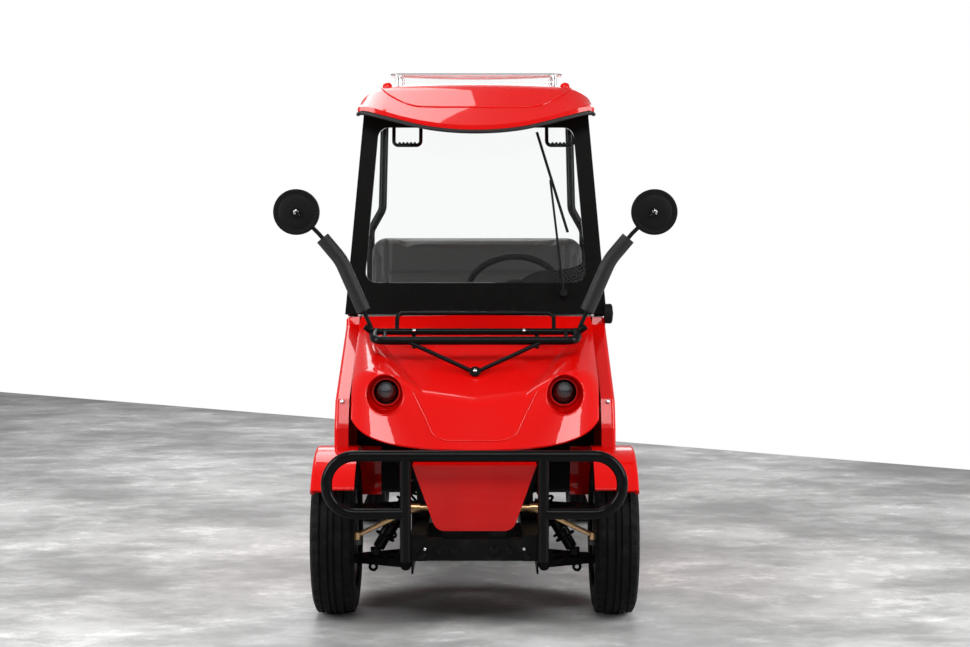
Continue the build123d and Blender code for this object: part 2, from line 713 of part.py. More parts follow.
pieces["headlamp_lenses"] = headlamp_lenses

# Nose panel: tapered pan behind the bull bar, open to the rear
NOSE_TOP = 524.0
NOSE_TOP_HALF = 189.0
NOSE_BOTTOM_HALF = 117.0
NOSE_FRONT = 62.0
NOSE_DEPTH = 70.0
NOSE_WALL = 5.0
with BuildPart() as nose_panel:
    for inset, start, mode in ((0, 0, Mode.ADD), (NOSE_WALL, NOSE_WALL, Mode.SUBTRACT)):
        with BuildSketch(Plane.XZ.offset(-aft(NOSE_FRONT + start))):
            with BuildLine() as nose_line:
                Polyline(
                    (-NOSE_TOP_HALF + inset, NOSE_TOP - inset),
                    (-NOSE_BOTTOM_HALF + inset, NOSE_BOTTOM + inset),
                    (NOSE_BOTTOM_HALF - inset, NOSE_BOTTOM + inset),
                    (NOSE_TOP_HALF - inset, NOSE_TOP - inset),
                    close=True,
                )
            nose_face = make_face()
            fillet(nose_face.vertices().group_by(Axis.Y)[0], 38 - inset)
            fillet(nose_face.vertices().group_by(Axis.Y)[-1], 14 - inset)
        extrude(amount=-NOSE_DEPTH, mode=mode)
pieces["nose_panel"] = nose_panel

# Front fenders: rounded bands over the tyres, with a drop plate on the inner side
FENDER_R = 301.0
FENDER_T = 10.0
FENDER_LIP = 22.0
FENDER_LIP_W = 12.0
FENDER_ROUND = 11.0
FENDER_SHIFT = 15.0
FENDER_LOW = 14.0
FENDER_IN = 452.0
FENDER_OUT = 509.0
FENDER_FRONT_Z = 434.0
FENDER_REAR_Z = 400.0
FENDER_CENTRE = (AXLE_F - FENDER_SHIFT, AXLE_Z - FENDER_LOW)


def band_ends(centre, radius, front_z, rear_z):
    """Front, top and rear points of a circular band in the side view."""
    front = centre[0] - math.sqrt(radius**2 - (front_z - centre[1]) ** 2)
    rear = centre[0] + math.sqrt(radius**2 - (rear_z - centre[1]) ** 2)
    return (front, front_z), (centre[0], centre[1] + radius), (rear, rear_z)


with BuildPart() as front_fenders:
    with BuildSketch(Plane.YZ.offset(FENDER_IN)):
        with BuildLine() as band:
            ThreePointArc(*band_ends(FENDER_CENTRE, FENDER_R, FENDER_FRONT_Z, FENDER_REAR_Z))
            offset(amount=FENDER_T, side=Side.RIGHT)
        make_face()
    extrude(amount=FENDER_OUT - FENDER_IN)
    with BuildSketch(Plane.YZ.offset(FENDER_OUT - FENDER_LIP_W)):
        with BuildLine():
            ThreePointArc(*band_ends(FENDER_CENTRE, FENDER_R, FENDER_FRONT_Z, FENDER_REAR_Z))
            offset(amount=FENDER_LIP, side=Side.RIGHT)
        make_face()
    extrude(amount=FENDER_LIP_W)
    outer_arc = front_fenders.edges().filter_by(GeomType.CIRCLE).group_by(Axis.X)[-1].sort_by(SortBy.RADIUS)[-1]
    fillet(outer_arc, FENDER_ROUND)
    mirror(about=Plane.YZ)
pieces["front_fenders"] = front_fenders

# Side panels: cheeks beside the hood, cut out over the front wheels
SIDE_OUT = FENDER_IN - SEAT_GAP
ARCH_R = FENDER_R - FENDER_T + 2.0
DOOR_AFT = 905.0
SIDE_TOP = 925.0
SIDE_ROUND = 14.0
ROUND_FROM = 560.0
# Red bulkhead behind the front wheels, from the cheek inwards
BULKHEAD_AFT = 698.0
BULKHEAD_T = 8.0
BULKHEAD_W = 92.0
BULKHEAD_H = 165.0
BULKHEAD_Z = 330.0
with BuildPart() as side_panels:
    with BuildSketch(Plane.YZ.offset(SIDE_IN)):
        with BuildLine():
            Polyline(
                (aft(352), 600),
                (aft(396), 690),
                (aft(850), 900),
                (aft(862), SIDE_TOP),
                (aft(985), SIDE_TOP),
                (aft(DOOR_AFT), 560),
                (aft(DOOR_AFT), 255),
                (aft(690), 255),
                (aft(625), 505),
                (aft(345), 505),
                close=True,
            )
        make_face()
        with Locations(FENDER_CENTRE):
            Circle(ARCH_R, mode=Mode.SUBTRACT)
    extrude(amount=SIDE_OUT - SIDE_IN)
    outer_edges = side_panels.edges().filter_by(GeomType.LINE).group_by(Axis.X)[-1]
    fillet(outer_edges.filter_by(lambda edge: edge.center().Z > ROUND_FROM), SIDE_ROUND)
    with BuildSketch(Plane.XZ.offset(-aft(BULKHEAD_AFT))):
        with Locations((SIDE_IN + BULKHEAD_T, BULKHEAD_Z)):
            Rectangle(BULKHEAD_W, BULKHEAD_H, align=(Align.MAX, Align.MIN))
    extrude(amount=BULKHEAD_T)
    mirror(about=Plane.YZ)
pieces["side_panels"] = side_panels

# Rocker panels between the cheeks and the rear body
ROCKER_IN = CABIN_HALF + SEAT_GAP
ROCKER_TOP = 330.0
ROCKER_BOTTOM = 240.0
REAR_FROM = 1650.0
with BuildPart() as rocker_panels:
    with BuildSketch(Plane.XZ.offset(-aft(REAR_FROM - SEAT_GAP))):
        with BuildLine():
            Polyline(
                (ROCKER_IN, ROCKER_BOTTOM),
                (SIDE_OUT - 22, ROCKER_BOTTOM),
                (SIDE_OUT, ROCKER_BOTTOM + 30),
                (SIDE_OUT, ROCKER_TOP - 12),
                (SIDE_OUT - 12, ROCKER_TOP),
                (ROCKER_IN, ROCKER_TOP),
                close=True,
            )
        make_face()
    extrude(amount=REAR_FROM - DOOR_AFT - 2 * SEAT_GAP)
    mirror(about=Plane.YZ)
pieces["rocker_panels"] = rocker_panels

# Seat base: open box over the battery
BASE_TO = 1545.0
BASE_HALF = 396.0
BASE_TOP = 600.0
BASE_WALL = 8.0
with BuildPart() as seat_base:
    with Locations((0, aft(SEAT_FROM + SEAT_GAP), RAIL_TOP)):
        Box(
            2 * BASE_HALF,
            BASE_TO - SEAT_FROM,
            BASE_TOP - RAIL_TOP,
            align=(Align.CENTER, Align.MIN, Align.MIN),
        )
    with Locations((0, aft(SEAT_FROM + SEAT_GAP + BASE_WALL), RAIL_TOP)):
        Box(
            2 * (BASE_HALF - BASE_WALL),
            BASE_TO - SEAT_FROM - 2 * BASE_WALL,
            BASE_TOP - RAIL_TOP,
            align=(Align.CENTER, Align.MIN, Align.MIN),
            mode=Mode.SUBTRACT,
        )
pieces["seat_base"] = seat_base

# Seat cushion and back rest: soft slabs with rounded edges
CUSHION_FROM = 1172.0
CUSHION_TO = 1632.0
CUSHION_HALF = 412.0
CUSHION_H = 125.0
with BuildPart() as seat_cushion:
    with Locations((0, aft(CUSHION_FROM), BASE_TOP + SEAT_GAP)):
        Box(
            2 * CUSHION_HALF,
            CUSHION_TO - CUSHION_FROM,
            CUSHION_H,
            align=(Align.CENTER, Align.MIN, Align.MIN),
        )
    fillet(seat_cushion.edges().filter_by(Axis.Z), 45)
    fillet(seat_cushion.edges().group_by(Axis.Z)[-1], 35)
pieces["seat_cushion"] = seat_cushion

BACK_TILT = 12.0
BACK_FOOT = Vector(0, aft(1640.0), 752.0)
BACK_H = 440.0
BACK_T = 95.0
BACK_HALF = 416.0
back_plane = Plane(
    origin=BACK_FOOT,
    x_dir=(1, 0, 0),
    z_dir=(0, -math.cos(math.radians(BACK_TILT)), math.sin(math.radians(BACK_TILT))),
)
with BuildPart(back_plane) as seat_back:
    Box(2 * BACK_HALF, BACK_H, BACK_T, align=(Align.CENTER, Align.MIN, Align.MIN))
    fillet(seat_back.edges().filter_by(Axis(BACK_FOOT, back_plane.z_dir)), 60)
    fillet(seat_back.faces().sort_by(Axis(BACK_FOOT, back_plane.z_dir))[-1].edges(), 30)
pieces["seat_back"] = seat_back

# Rear body: wheel houses with outer skins, front and back walls, and bands over the tyres
REAR_TO = LENGTH - 70.0
HOUSE_IN = 360.0
HOUSE_WALL = 8.0
REAR_OUT = SIDE_OUT
REAR_TOP = 690.0
REAR_LOW = 330.0
DECK_Z = KICK_Z + RAIL_H / 2
REAR_FENDER_R = 292.0
with BuildPart() as rear_body:
    with BuildSketch(Plane.XZ.offset(-aft(REAR_TO))):
        with Locations((HOUSE_IN, DECK_Z)):
            Rectangle(HOUSE_WALL, REAR_TOP - DECK_Z, align=Align.MIN)
        with Locations((REAR_OUT, REAR_LOW)):
            Rectangle(HOUSE_WALL, REAR_TOP - REAR_LOW, align=(Align.MAX, Align.MIN))
        with Locations((HOUSE_IN, REAR_TOP)):
            Rectangle(REAR_OUT - HOUSE_IN, HOUSE_WALL, align=(Align.MIN, Align.MAX))
    extrude(amount=REAR_TO - REAR_FROM)
    with BuildSketch(Plane.YZ.offset(HOUSE_IN + 2 * HOUSE_WALL)):
        with Locations((AXLE_R, AXLE_Z)):
            Circle(REAR_FENDER_R)
    extrude(amount=REAR_OUT, mode=Mode.SUBTRACT)
    with BuildSketch(Plane.YZ.offset(REAR_OUT - HOUSE_WALL)):
        with BuildLine():
            ThreePointArc(*band_ends((AXLE_R, AXLE_Z), REAR_FENDER_R, FENDER_REAR_Z, FENDER_REAR_Z))
            offset(amount=FENDER_T, side=Side.RIGHT)
        make_face()
    extrude(amount=FENDER_OUT - REAR_OUT + HOUSE_WALL)
    mirror(about=Plane.YZ)
    for wall_aft in (REAR_FROM, REAR_TO - HOUSE_WALL):
        with Locations((0, aft(wall_aft), DECK_Z)):
            Box(
                2 * HOUSE_IN + HOUSE_WALL,
                HOUSE_WALL,
                REAR_TOP - DECK_Z,
                align=(Align.CENTER, Align.MIN, Align.MIN),
            )
pieces["rear_body"] = rear_body

# Cargo deck: ribbed tray floor on the kicked-up rails
DECK_T = 8.0
RIB_COUNT = 9
RIB_W = 14.0
RIB_H = 5.0
DECK_HALF = HOUSE_IN - SEAT_GAP
DECK_FROM = REAR_FROM + HOUSE_WALL + SEAT_GAP
DECK_TO = REAR_TO - HOUSE_WALL - SEAT_GAP
RIB_PITCH = 2 * DECK_HALF / RIB_COUNT
with BuildPart() as cargo_deck:
    with Locations((0, aft(DECK_FROM), DECK_Z + SEAT_GAP)):
        Box(2 * DECK_HALF, DECK_TO - DECK_FROM, DECK_T, align=(Align.CENTER, Align.MIN, Align.MIN))
    with BuildSketch(Plane.XY.offset(DECK_Z + SEAT_GAP + DECK_T)):
        with Locations((0, aft((DECK_FROM + DECK_TO) / 2))):
            with GridLocations(RIB_PITCH, 1, RIB_COUNT, 1):
                Rectangle(RIB_W, DECK_TO - DECK_FROM - 60)
    extrude(amount=RIB_H, taper=20)
pieces["cargo_deck"] = cargo_deck

# Tail lamps on the back wall
TAIL_X = 310.0
TAIL_Z = 610.0
with BuildPart() as tail_lamps:
    with BuildSketch(Plane.XZ.offset(-aft(REAR_TO + SEAT_GAP))):
        with Locations((-TAIL_X, TAIL_Z), (TAIL_X, TAIL_Z)):
            RectangleRounded(96, 62, 20)
    extrude(amount=-22, taper=12)
pieces["tail_lamps"] = tail_lamps

# Rear bumper: bent tube on two stays, with a tow plate bored for a pin
BUMPER_R = 17.0
BUMPER_HALF = 420.0
BUMPER_SIDE = 90.0
TOW_PLATE_T = 14.0
TOW_PLATE_W = 48.0
TOW_BORE_R = 8.0
TOW_BORE_AFT = LENGTH - 2 * BUMPER_R - 16.0
bumper_bar = bent_tube(
    (
        (-BUMPER_HALF, aft(LENGTH - BUMPER_R - BUMPER_SIDE), KICK_Z),
        (-BUMPER_HALF, aft(LENGTH - BUMPER_R), KICK_Z),
        (BUMPER_HALF, aft(LENGTH - BUMPER_R), KICK_Z),
        (BUMPER_HALF, aft(LENGTH - BUMPER_R - BUMPER_SIDE), KICK_Z),
    ),
    60,
    BUMPER_R,
)
with BuildPart() as rear_bumper:
    add(bumper_bar)
    for side in (-1, 1):
        with Locations((side * RAIL_X, aft(RAIL_END + SEAT_GAP), KICK_Z)):
            Box(
                RAIL_W,
                LENGTH - BUMPER_R - RAIL_END,
                BUMPER_R,
                align=(Align.CENTER, Align.MIN, Align.CENTER),
            )
    with Locations((0, aft(LENGTH - BUMPER_R), KICK_Z)):
        Box(
            2 * RAIL_X,
            TOW_PLATE_W,
            TOW_PLATE_T,
            align=(Align.CENTER, Align.MAX, Align.CENTER),
        )
    with Locations((0, aft(TOW_BORE_AFT), KICK_Z)):
        Cylinder(TOW_BORE_R, 60, mode=Mode.SUBTRACT)
pieces["rear_bumper"] = rear_bumper

# Roof: smooth shell lofted across the cart, crowned, with a drooping visor and turned-down sides
ROOF_T = 20.0
ROOF_BEND = 150.0
# Bend over the screen, crest and tail of the roof on its centre line: distance aft, height
ROOF_CROWN = ((1085.0, 1748.0), (1480.0, 1766.0), (1835.0, 1749.0))
# Roof section columns: side offset, visor edge aft and its height, droop, tail drawn in
ROOF_SECTIONS = (
    (0.0, 850.0, 1590.0, 0.0, 0.0),
    (313.0, 916.0, 1640.0, 9.0, 4.0),
    (385.0, 948.0, 1659.0, 34.0, 14.0),
    (405.0, 960.0, 1660.0, 54.0, 28.0),
    (416.0, 968.0, 1655.0, 82.0, 52.0),
)


def roof_profile(row):
    """Visor edge, bend, crest and tail of one roof section: distance aft, height."""
    offset_x, edge_aft, edge_z, droop, drawn = row
    crown = [(y, z - droop) for y, z in ROOF_CROWN]
    tail_y, tail_z = crown[-1]
    return [(edge_aft, edge_z), *crown[:-1], (tail_y - drawn, tail_z)]


def roof_under(distance, side_offset):
    """Height of the roof's underside at a distance aft and a side offset."""
    for low, high in zip(ROOF_SECTIONS, ROOF_SECTIONS[1:]):
        if low[0] <= side_offset <= high[0]:
            share = (side_offset - low[0]) / (high[0] - low[0])
            row = [a + share * (b - a) for a, b in zip(low, high)]
            line = roof_profile(row)
            for (y0, z0), (y1, z1) in zip(line, line[1:]):
                if y0 <= distance <= y1:
                    return z0 + (z1 - z0) * (distance - y0) / (y1 - y0) - ROOF_T
    raise ValueError("outside the roof")


def roof_face(row, side):
    """Closed strip of the roof at one side offset."""
    top = FilletPolyline(*[(side * row[0], aft(y), z) for y, z in roof_profile(row)], radius=ROOF_BEND)
    under = top.moved(Location((0, 0, -ROOF_T)))
    ends = [Line(top @ 0, under @ 0), Line(top @ 1, under @ 1)]
    return make_face([*top.edges(), *under.edges(), *ends]).face()


roof_faces = [roof_face(row, -1) for row in reversed(ROOF_SECTIONS[1:])]
roof_faces.extend(roof_face(row, 1) for row in ROOF_SECTIONS)
with BuildPart() as roof:
    loft(roof_faces[3:6])
    loft(roof_faces[:4])
    loft(roof_faces[5:])
pieces["roof"] = roof

# Windscreen plane, leaned back from the cowl
SCREEN_RAKE = 14.0
SCREEN_FOOT = Vector(0, aft(853.0), 935.5)
SCREEN_H = 735.0
SCREEN_BOTTOM_HALF = 455.0
SCREEN_TOP_HALF = 398.0
BORDER_SIDE = 58.0
BORDER_BOTTOM = 112.0
BORDER_TOP = 60.0
SCREEN_T = 6.0
POST_W = 34.0
POST_INSET = 8.0
POST_DEPTH = 36.0
GLASS_CORNER = 40.0
rake = math.radians(SCREEN_RAKE)
screen_plane = Plane(origin=SCREEN_FOOT, x_dir=(1, 0, 0), z_dir=(0, -math.cos(rake), math.sin(rake)))
SCREEN_TAPER = (SCREEN_BOTTOM_HALF - SCREEN_TOP_HALF) / SCREEN_H


def screen_half(height):
    """Half width of the windscreen at a height along its plane."""
    return SCREEN_BOTTOM_HALF - SCREEN_TAPER * height


def post_reach():
    """Height along the screen at which the post's outer front corner meets the roof."""
    low, high = SCREEN_H, 1.2 * SCREEN_H
    for step in range(30):
        middle = (low + high) / 2
        corner = screen_plane.from_local_coords((0, middle, -SCREEN_T))
        room = roof_under(corner.Y - Y_FRONT, screen_half(middle) - POST_INSET) - SEAT_GAP - corner.Z
        low, high = (middle, high) if room > 0 else (low, middle)
    return low


def clear_pane(gap):
    """Outline of the clear pane with round corners, drawn in from the border by a gap."""
    low = BORDER_BOTTOM + gap
    high = SCREEN_H - BORDER_TOP - gap
    low_half = screen_half(low) - BORDER_SIDE - gap
    high_half = screen_half(high) - BORDER_SIDE - gap
    with BuildSketch() as pane:
        with BuildLine():
            Polyline((-low_half, low), (low_half, low), (high_half, high), (-high_half, high), close=True)
        make_face()
        fillet(pane.vertices(), GLASS_CORNER - gap)
    return pane.sketch


SCREEN_POST_H = post_reach()
pane_opening = clear_pane(0)
pane_glass = clear_pane(SEAT_GAP)


HANDLE_Y = SCREEN_H - BORDER_TOP - 12.0
HANDLE_W = 96.0
HANDLE_DROP = 44.0
HANDLE_R = 6.5
HANDLE_BACK = 30.0
HANDLES_X = (-245.0, 300.0)
handles = []
for handle_x in HANDLES_X:
    top = HANDLE_Y + 26
    corners = (
        (handle_x - HANDLE_W / 2, top),
        (handle_x - HANDLE_W / 2, HANDLE_Y - HANDLE_DROP),
        (handle_x + HANDLE_W / 2, HANDLE_Y - HANDLE_DROP),
        (handle_x + HANDLE_W / 2, top),
    )
    route = [screen_plane.from_local_coords((x, y, -SCREEN_T - HANDLE_BACK)) for x, y in corners]
    handles.append(bent_tube(route, 16, HANDLE_R))
with BuildPart() as windshield_frame:
    with BuildSketch(screen_plane.offset(-SCREEN_T)):
        with BuildLine():
            Polyline(
                (-SCREEN_BOTTOM_HALF, 0),
                (SCREEN_BOTTOM_HALF, 0),
                (SCREEN_TOP_HALF, SCREEN_H),
                (-SCREEN_TOP_HALF, SCREEN_H),
                close=True,
            )
        make_face()
        add(pane_opening, mode=Mode.SUBTRACT)
    extrude(amount=SCREEN_T)
    with BuildSketch(screen_plane.offset(-SCREEN_T)):
        for side in (-1, 1):
            with BuildLine():
                Polyline(
                    (side * (SCREEN_BOTTOM_HALF - POST_INSET), 0),
                    (side * (screen_half(SCREEN_POST_H) - POST_INSET), SCREEN_POST_H),
                    (side * (screen_half(SCREEN_POST_H) - POST_INSET - POST_W), SCREEN_POST_H),
                    (side * (SCREEN_BOTTOM_HALF - POST_INSET - POST_W), 0),
                    close=True,
                )
            make_face()
        with Locations((0, SCREEN_H - BORDER_TOP + 26)):
            Rectangle(2 * SCREEN_TOP_HALF - 30, 30)
    extrude(amount=-POST_DEPTH)
    for handle in handles:
        add(handle)
pieces["windshield_frame"] = windshield_frame

with BuildPart() as windshield:
    with BuildSketch(screen_plane.offset(-SCREEN_T)):
        add(pane_glass)
    extrude(amount=SCREEN_T)
pieces["windshield"] = windshield

# Wiper: pivot on the lower border, sprung arm and a blade along the glass
WIPER_PIVOT = (306.0, 72.0)
WIPER_ARM_END = (262.0, 476.0)
WIPER_TOP = (216.0, 655.0)
WIPER_LOW = (322.0, 292.0)
WIPER_LIFT = 16.0
BLADE_R = 5.0
ARM_BAR_R = 4.0


def on_screen(point, lift):
    """Point of the windscreen plane, lifted off the glass."""
    return screen_plane.from_local_coords((point[0], point[1], lift))


wiper_bars = (
    straight_bar(on_screen(WIPER_PIVOT, WIPER_LIFT), on_screen(WIPER_ARM_END, WIPER_LIFT), ARM_BAR_R),
    straight_bar(on_screen(WIPER_LOW, BLADE_R + SEAT_GAP), on_screen(WIPER_TOP, BLADE_R + SEAT_GAP), BLADE_R),
    straight_bar(on_screen(WIPER_ARM_END, WIPER_LIFT + 6), on_screen(WIPER_ARM_END, BLADE_R), 3),
    straight_bar(on_screen(WIPER_PIVOT, WIPER_LIFT + 8), on_screen(WIPER_PIVOT, SEAT_GAP), 13),
)
with BuildPart() as wiper:
    for bar in wiper_bars:
        add(bar)
pieces["wiper"] = wiper

# Clear wind panel on stand-off studs over the roof
PANEL_FROM = 1130.0
PANEL_TO = 1560.0
PANEL_HALF = 310.0
PANEL_Z = 1784.0
PANEL_T = 5.0
STUD_R = 8.0
STUDS = tuple((x, y) for x in (-284.0, 284.0) for y in (1180.0, 1480.0))
with BuildPart() as roof_panel:
    with BuildSketch(Plane.XY.offset(PANEL_Z)):
        with Locations((0, aft((PANEL_FROM + PANEL_TO) / 2))):
            RectangleRounded(2 * PANEL_HALF, PANEL_TO - PANEL_FROM, 40)
    extrude(amount=PANEL_T)
pieces["roof_panel"] = roof_panel
with BuildPart() as roof_studs:
    with BuildSketch(Plane.XY.offset(PANEL_Z - SEAT_GAP)):
        with Locations(*[(x, aft(y)) for x, y in STUDS]):
            Circle(STUD_R)
    extrude(until=Until.NEXT, target=roof.part, dir=(0, 0, -1))
pieces["roof_studs"] = roof_studs

# Rear roof posts, their cross bars behind the back rest, and the hip rails
POST_R = 16.0
POST_AFT = 1752.0
POST_TOP_X = 365.0
POST_TOP_Z = roof_under(POST_AFT, POST_TOP_X + POST_R) - 2 * SEAT_GAP
POST_NECK_Z = 1300.0
POST_NECK_X = 376.0
POST_FOOT_X = 424.0
POST_SHOULDER_Z = 1215.0
HIP_X = 440.0
HIP_Z = 880.0
HIP_RUN = 312.0
HIP_FROM = POST_AFT - HIP_RUN
HIP_R = 11.0
tubes = []
for side in (-1, 1):
    tubes.append(
        bent_tube(
            (
                (side * POST_TOP_X, aft(POST_AFT), POST_TOP_Z),
                (side * POST_NECK_X, aft(POST_AFT), POST_NECK_Z),
                (side * POST_FOOT_X, aft(POST_AFT), POST_SHOULDER_Z),
                (side * POST_FOOT_X, aft(POST_AFT), REAR_TOP + SEAT_GAP),
            ),
            60,
            POST_R,
        )
    )
    tubes.append(
        bent_tube(
            (
                (side * HIP_X, aft(POST_AFT), HIP_Z),
                (side * HIP_X, aft(HIP_FROM), HIP_Z),
                (side * HIP_X, aft(HIP_FROM), ROCKER_TOP + SEAT_GAP),
            ),
            60,
            HIP_R,
        )
    )
BACK_BAR_HALF = 330.0
BACK_BAR_Z = 1120.0
for bar_z in (HIP_Z, BACK_BAR_Z):
    lean = math.radians(BACK_TILT)
    bar_y = BACK_FOOT.Y + (bar_z - BACK_FOOT.Z) * math.tan(lean) + (HIP_R + SEAT_GAP) / math.cos(lean)
    tubes.append(
        bent_tube(
            (
                (-POST_FOOT_X, aft(POST_AFT), bar_z),
                (-BACK_BAR_HALF, bar_y, bar_z),
                (BACK_BAR_HALF, bar_y, bar_z),
                (POST_FOOT_X, aft(POST_AFT), bar_z),
            ),
            30,
            HIP_R,
        )
    )
with BuildPart() as roof_posts:
    for tube in tubes:
        add(tube)
pieces["roof_posts"] = roof_posts

# Front rack: two bars, end links, a hoop, a brace down to the hood and two short legs
RACK_BAR_R = 11.0
RACK_FRONT = (480.0, 872.0)
RACK_BACK = (600.0, 893.0)
RACK_FRONT_HALF = 320.0
RACK_BACK_HALF = 340.0
HOOP_R = 7.0
HOOP_HALF = 262.0
HOOP_TOP = 952.0
BRACE_X = 228.0
BRACE_FOOT = (408.0, 773.8)
LEG_X = 205.0


def rack_point(x, place):
    """Point of the rack at a side offset and a (distance aft, height) place."""
    return (x, aft(place[0]), place[1])


rack_bars = [
    straight_bar(rack_point(-RACK_FRONT_HALF, RACK_FRONT), rack_point(RACK_FRONT_HALF, RACK_FRONT), RACK_BAR_R),
    straight_bar(rack_point(-RACK_BACK_HALF, RACK_BACK), rack_point(RACK_BACK_HALF, RACK_BACK), RACK_BAR_R),
    bent_tube(
        (
            rack_point(-HOOP_HALF, RACK_BACK),
            rack_point(-HOOP_HALF, (RACK_BACK[0] + 40, HOOP_TOP)),
            rack_point(HOOP_HALF, (RACK_BACK[0] + 40, HOOP_TOP)),
            rack_point(HOOP_HALF, RACK_BACK),
        ),
        22,
        HOOP_R,
    ),
]
for side in (-1, 1):
    rack_bars.append(
        straight_bar(
            rack_point(side * (RACK_FRONT_HALF - 20), RACK_FRONT),
            rack_point(side * (RACK_FRONT_HALF - 20), RACK_BACK),
            HOOP_R,
        )
    )
    rack_bars.append(
        straight_bar(rack_point(side * BRACE_X, RACK_FRONT), rack_point(0, BRACE_FOOT), HOOP_R)
    )
with BuildPart() as rack_legs:
    with BuildSketch(Plane.XY.offset(RACK_BACK[1])):
        with Locations((-LEG_X, aft(RACK_BACK[0])), (LEG_X, aft(RACK_BACK[0]))):
            Circle(HOOP_R)
    extrude(until=Until.NEXT, target=hood.part, dir=(0, 0, -1))
with BuildPart() as front_rack:
    for bar in rack_bars:
        add(bar)
    add(rack_legs.part)
pieces["front_rack"] = front_rack

# Mirrors on bent stalks from the rack ends, with soft sleeves round the stalks
MIRROR_X = 594.0
MIRROR_Z = 1291.0
MIRROR_R = 76.0
MIRROR_T = 32.0
MIRROR_AFT = RACK_BACK[0]
STALK_R = 7.0
SLEEVE_R = 24.0
STALK_FOOT_X = RACK_BACK_HALF + STALK_R + SEAT_GAP
STALK = ((STALK_FOOT_X, 870.0), (STALK_FOOT_X, 906.0), (447.0, 1132.0), (521.0, 1220.0), (580.0, 1278.0))
# Sleeve over the middle of the stalk
SLEEVE = ((372.0, 962.2), (447.0, 1132.0), (508.0, 1204.5))
with BuildPart() as mirror_sleeves:
    for side in (-1, 1):
        with BuildLine() as sleeve_route:
            FilletPolyline(*[(side * x, aft(MIRROR_AFT), z) for x, z in SLEEVE], radius=160)
        with BuildSketch(Plane(origin=sleeve_route.line @ 0, z_dir=sleeve_route.line % 0)):
            Circle(SLEEVE_R)
            Circle(STALK_R + SEAT_GAP, mode=Mode.SUBTRACT)
        sweep()
pieces["mirror_sleeves"] = mirror_sleeves
stalks = []
for side in (-1, 1):
    stalks.append(
        bent_tube([(side * x, aft(MIRROR_AFT), z) for x, z in STALK], [30, 160, 60], STALK_R)
    )
with BuildPart() as mirrors:
    for stalk in stalks:
        add(stalk)
    for side in (-1, 1):
        with BuildSketch(Plane.XZ.offset(-aft(MIRROR_AFT - MIRROR_T / 2))):
            with Locations((side * MIRROR_X, MIRROR_Z)):
                Circle(MIRROR_R)
        extrude(amount=-MIRROR_T)
pieces["mirrors"] = mirrors
with BuildPart() as mirror_glasses:
    with BuildSketch(Plane.XZ.offset(-aft(MIRROR_AFT + MIRROR_T / 2 + SEAT_GAP))):
        with Locations((-MIRROR_X, MIRROR_Z), (MIRROR_X, MIRROR_Z)):
            Circle(MIRROR_R - 8)
    extrude(amount=-3)
pieces["mirror_glasses"] = mirror_glasses

# Pedals on the toe board: rounded pads with a stem down to the board
TOE_RISE = math.atan2(TOE_Z - RAIL_TOP, FLOOR_FRONT - TOE_AFT)
toe_normal = Vector(0, math.sin(TOE_RISE), math.cos(TOE_RISE))
toe_middle = Vector(0, aft((FLOOR_FRONT + TOE_AFT) / 2), (TOE_Z + RAIL_TOP) / 2)
toe_plane = Plane(origin=toe_middle + toe_normal * (SHEET_T + SEAT_GAP), x_dir=(1, 0, 0), z_dir=toe_normal)
PEDAL_STEM = 42.0
PEDAL_T = 10.0
PEDAL_H = 84.0
# Pedal columns: side offset, width
PEDALS = ((70.0, 66.0), (205.0, 46.0))
with BuildPart() as pedals:
    for pedal_x, width in PEDALS:
        with BuildSketch(toe_plane):
            with Locations((pedal_x, 0)):
                RectangleRounded(18, 30, 5)
        extrude(amount=PEDAL_STEM)
        with BuildSketch(toe_plane.offset(PEDAL_STEM)):
            with Locations((pedal_x, 0)):
                RectangleRounded(width, PEDAL_H, 8)
        extrude(amount=PEDAL_T)
pieces["pedals"] = pedals

os.makedirs("parts", exist_ok=True)
for label, piece in pieces.items():
    piece.part.label = label
    export_step(piece.part, f"parts/{label}.step")
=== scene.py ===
"""Golf cart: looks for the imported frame, laid out as an add-on and run as a script."""
import math

import bmesh
import bpy
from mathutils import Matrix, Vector
from mathutils.bvhtree import BVHTree


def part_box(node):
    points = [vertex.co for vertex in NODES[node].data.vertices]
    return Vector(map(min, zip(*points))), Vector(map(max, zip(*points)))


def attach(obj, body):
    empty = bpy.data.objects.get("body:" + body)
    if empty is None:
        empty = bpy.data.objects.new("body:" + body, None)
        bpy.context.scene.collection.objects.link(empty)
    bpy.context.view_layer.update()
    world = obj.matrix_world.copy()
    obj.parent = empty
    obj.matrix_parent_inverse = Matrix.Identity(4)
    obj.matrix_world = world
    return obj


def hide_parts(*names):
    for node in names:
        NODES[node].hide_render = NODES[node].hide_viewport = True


bl_info = {
    "name": "Golf Cart Looks",
    "version": (1, 0, 0),
    "blender": (4, 5, 0),
    "location": "View3D > Sidebar > Golf Cart",
    "description": "Dresses the packed golf cart with tyres, seats, lamps, trim and finishes",
    "category": "Object",
}

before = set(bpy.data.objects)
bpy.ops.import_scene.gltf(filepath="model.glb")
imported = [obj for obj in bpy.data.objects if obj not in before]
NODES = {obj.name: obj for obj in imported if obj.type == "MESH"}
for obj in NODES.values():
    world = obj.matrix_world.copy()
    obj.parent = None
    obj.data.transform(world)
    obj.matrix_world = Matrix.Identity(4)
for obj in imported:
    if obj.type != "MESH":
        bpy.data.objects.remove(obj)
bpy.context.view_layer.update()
MM = 0.001
SIDES = (-1, 1)
WHITE = (1.0, 1.0, 1.0, 1.0)


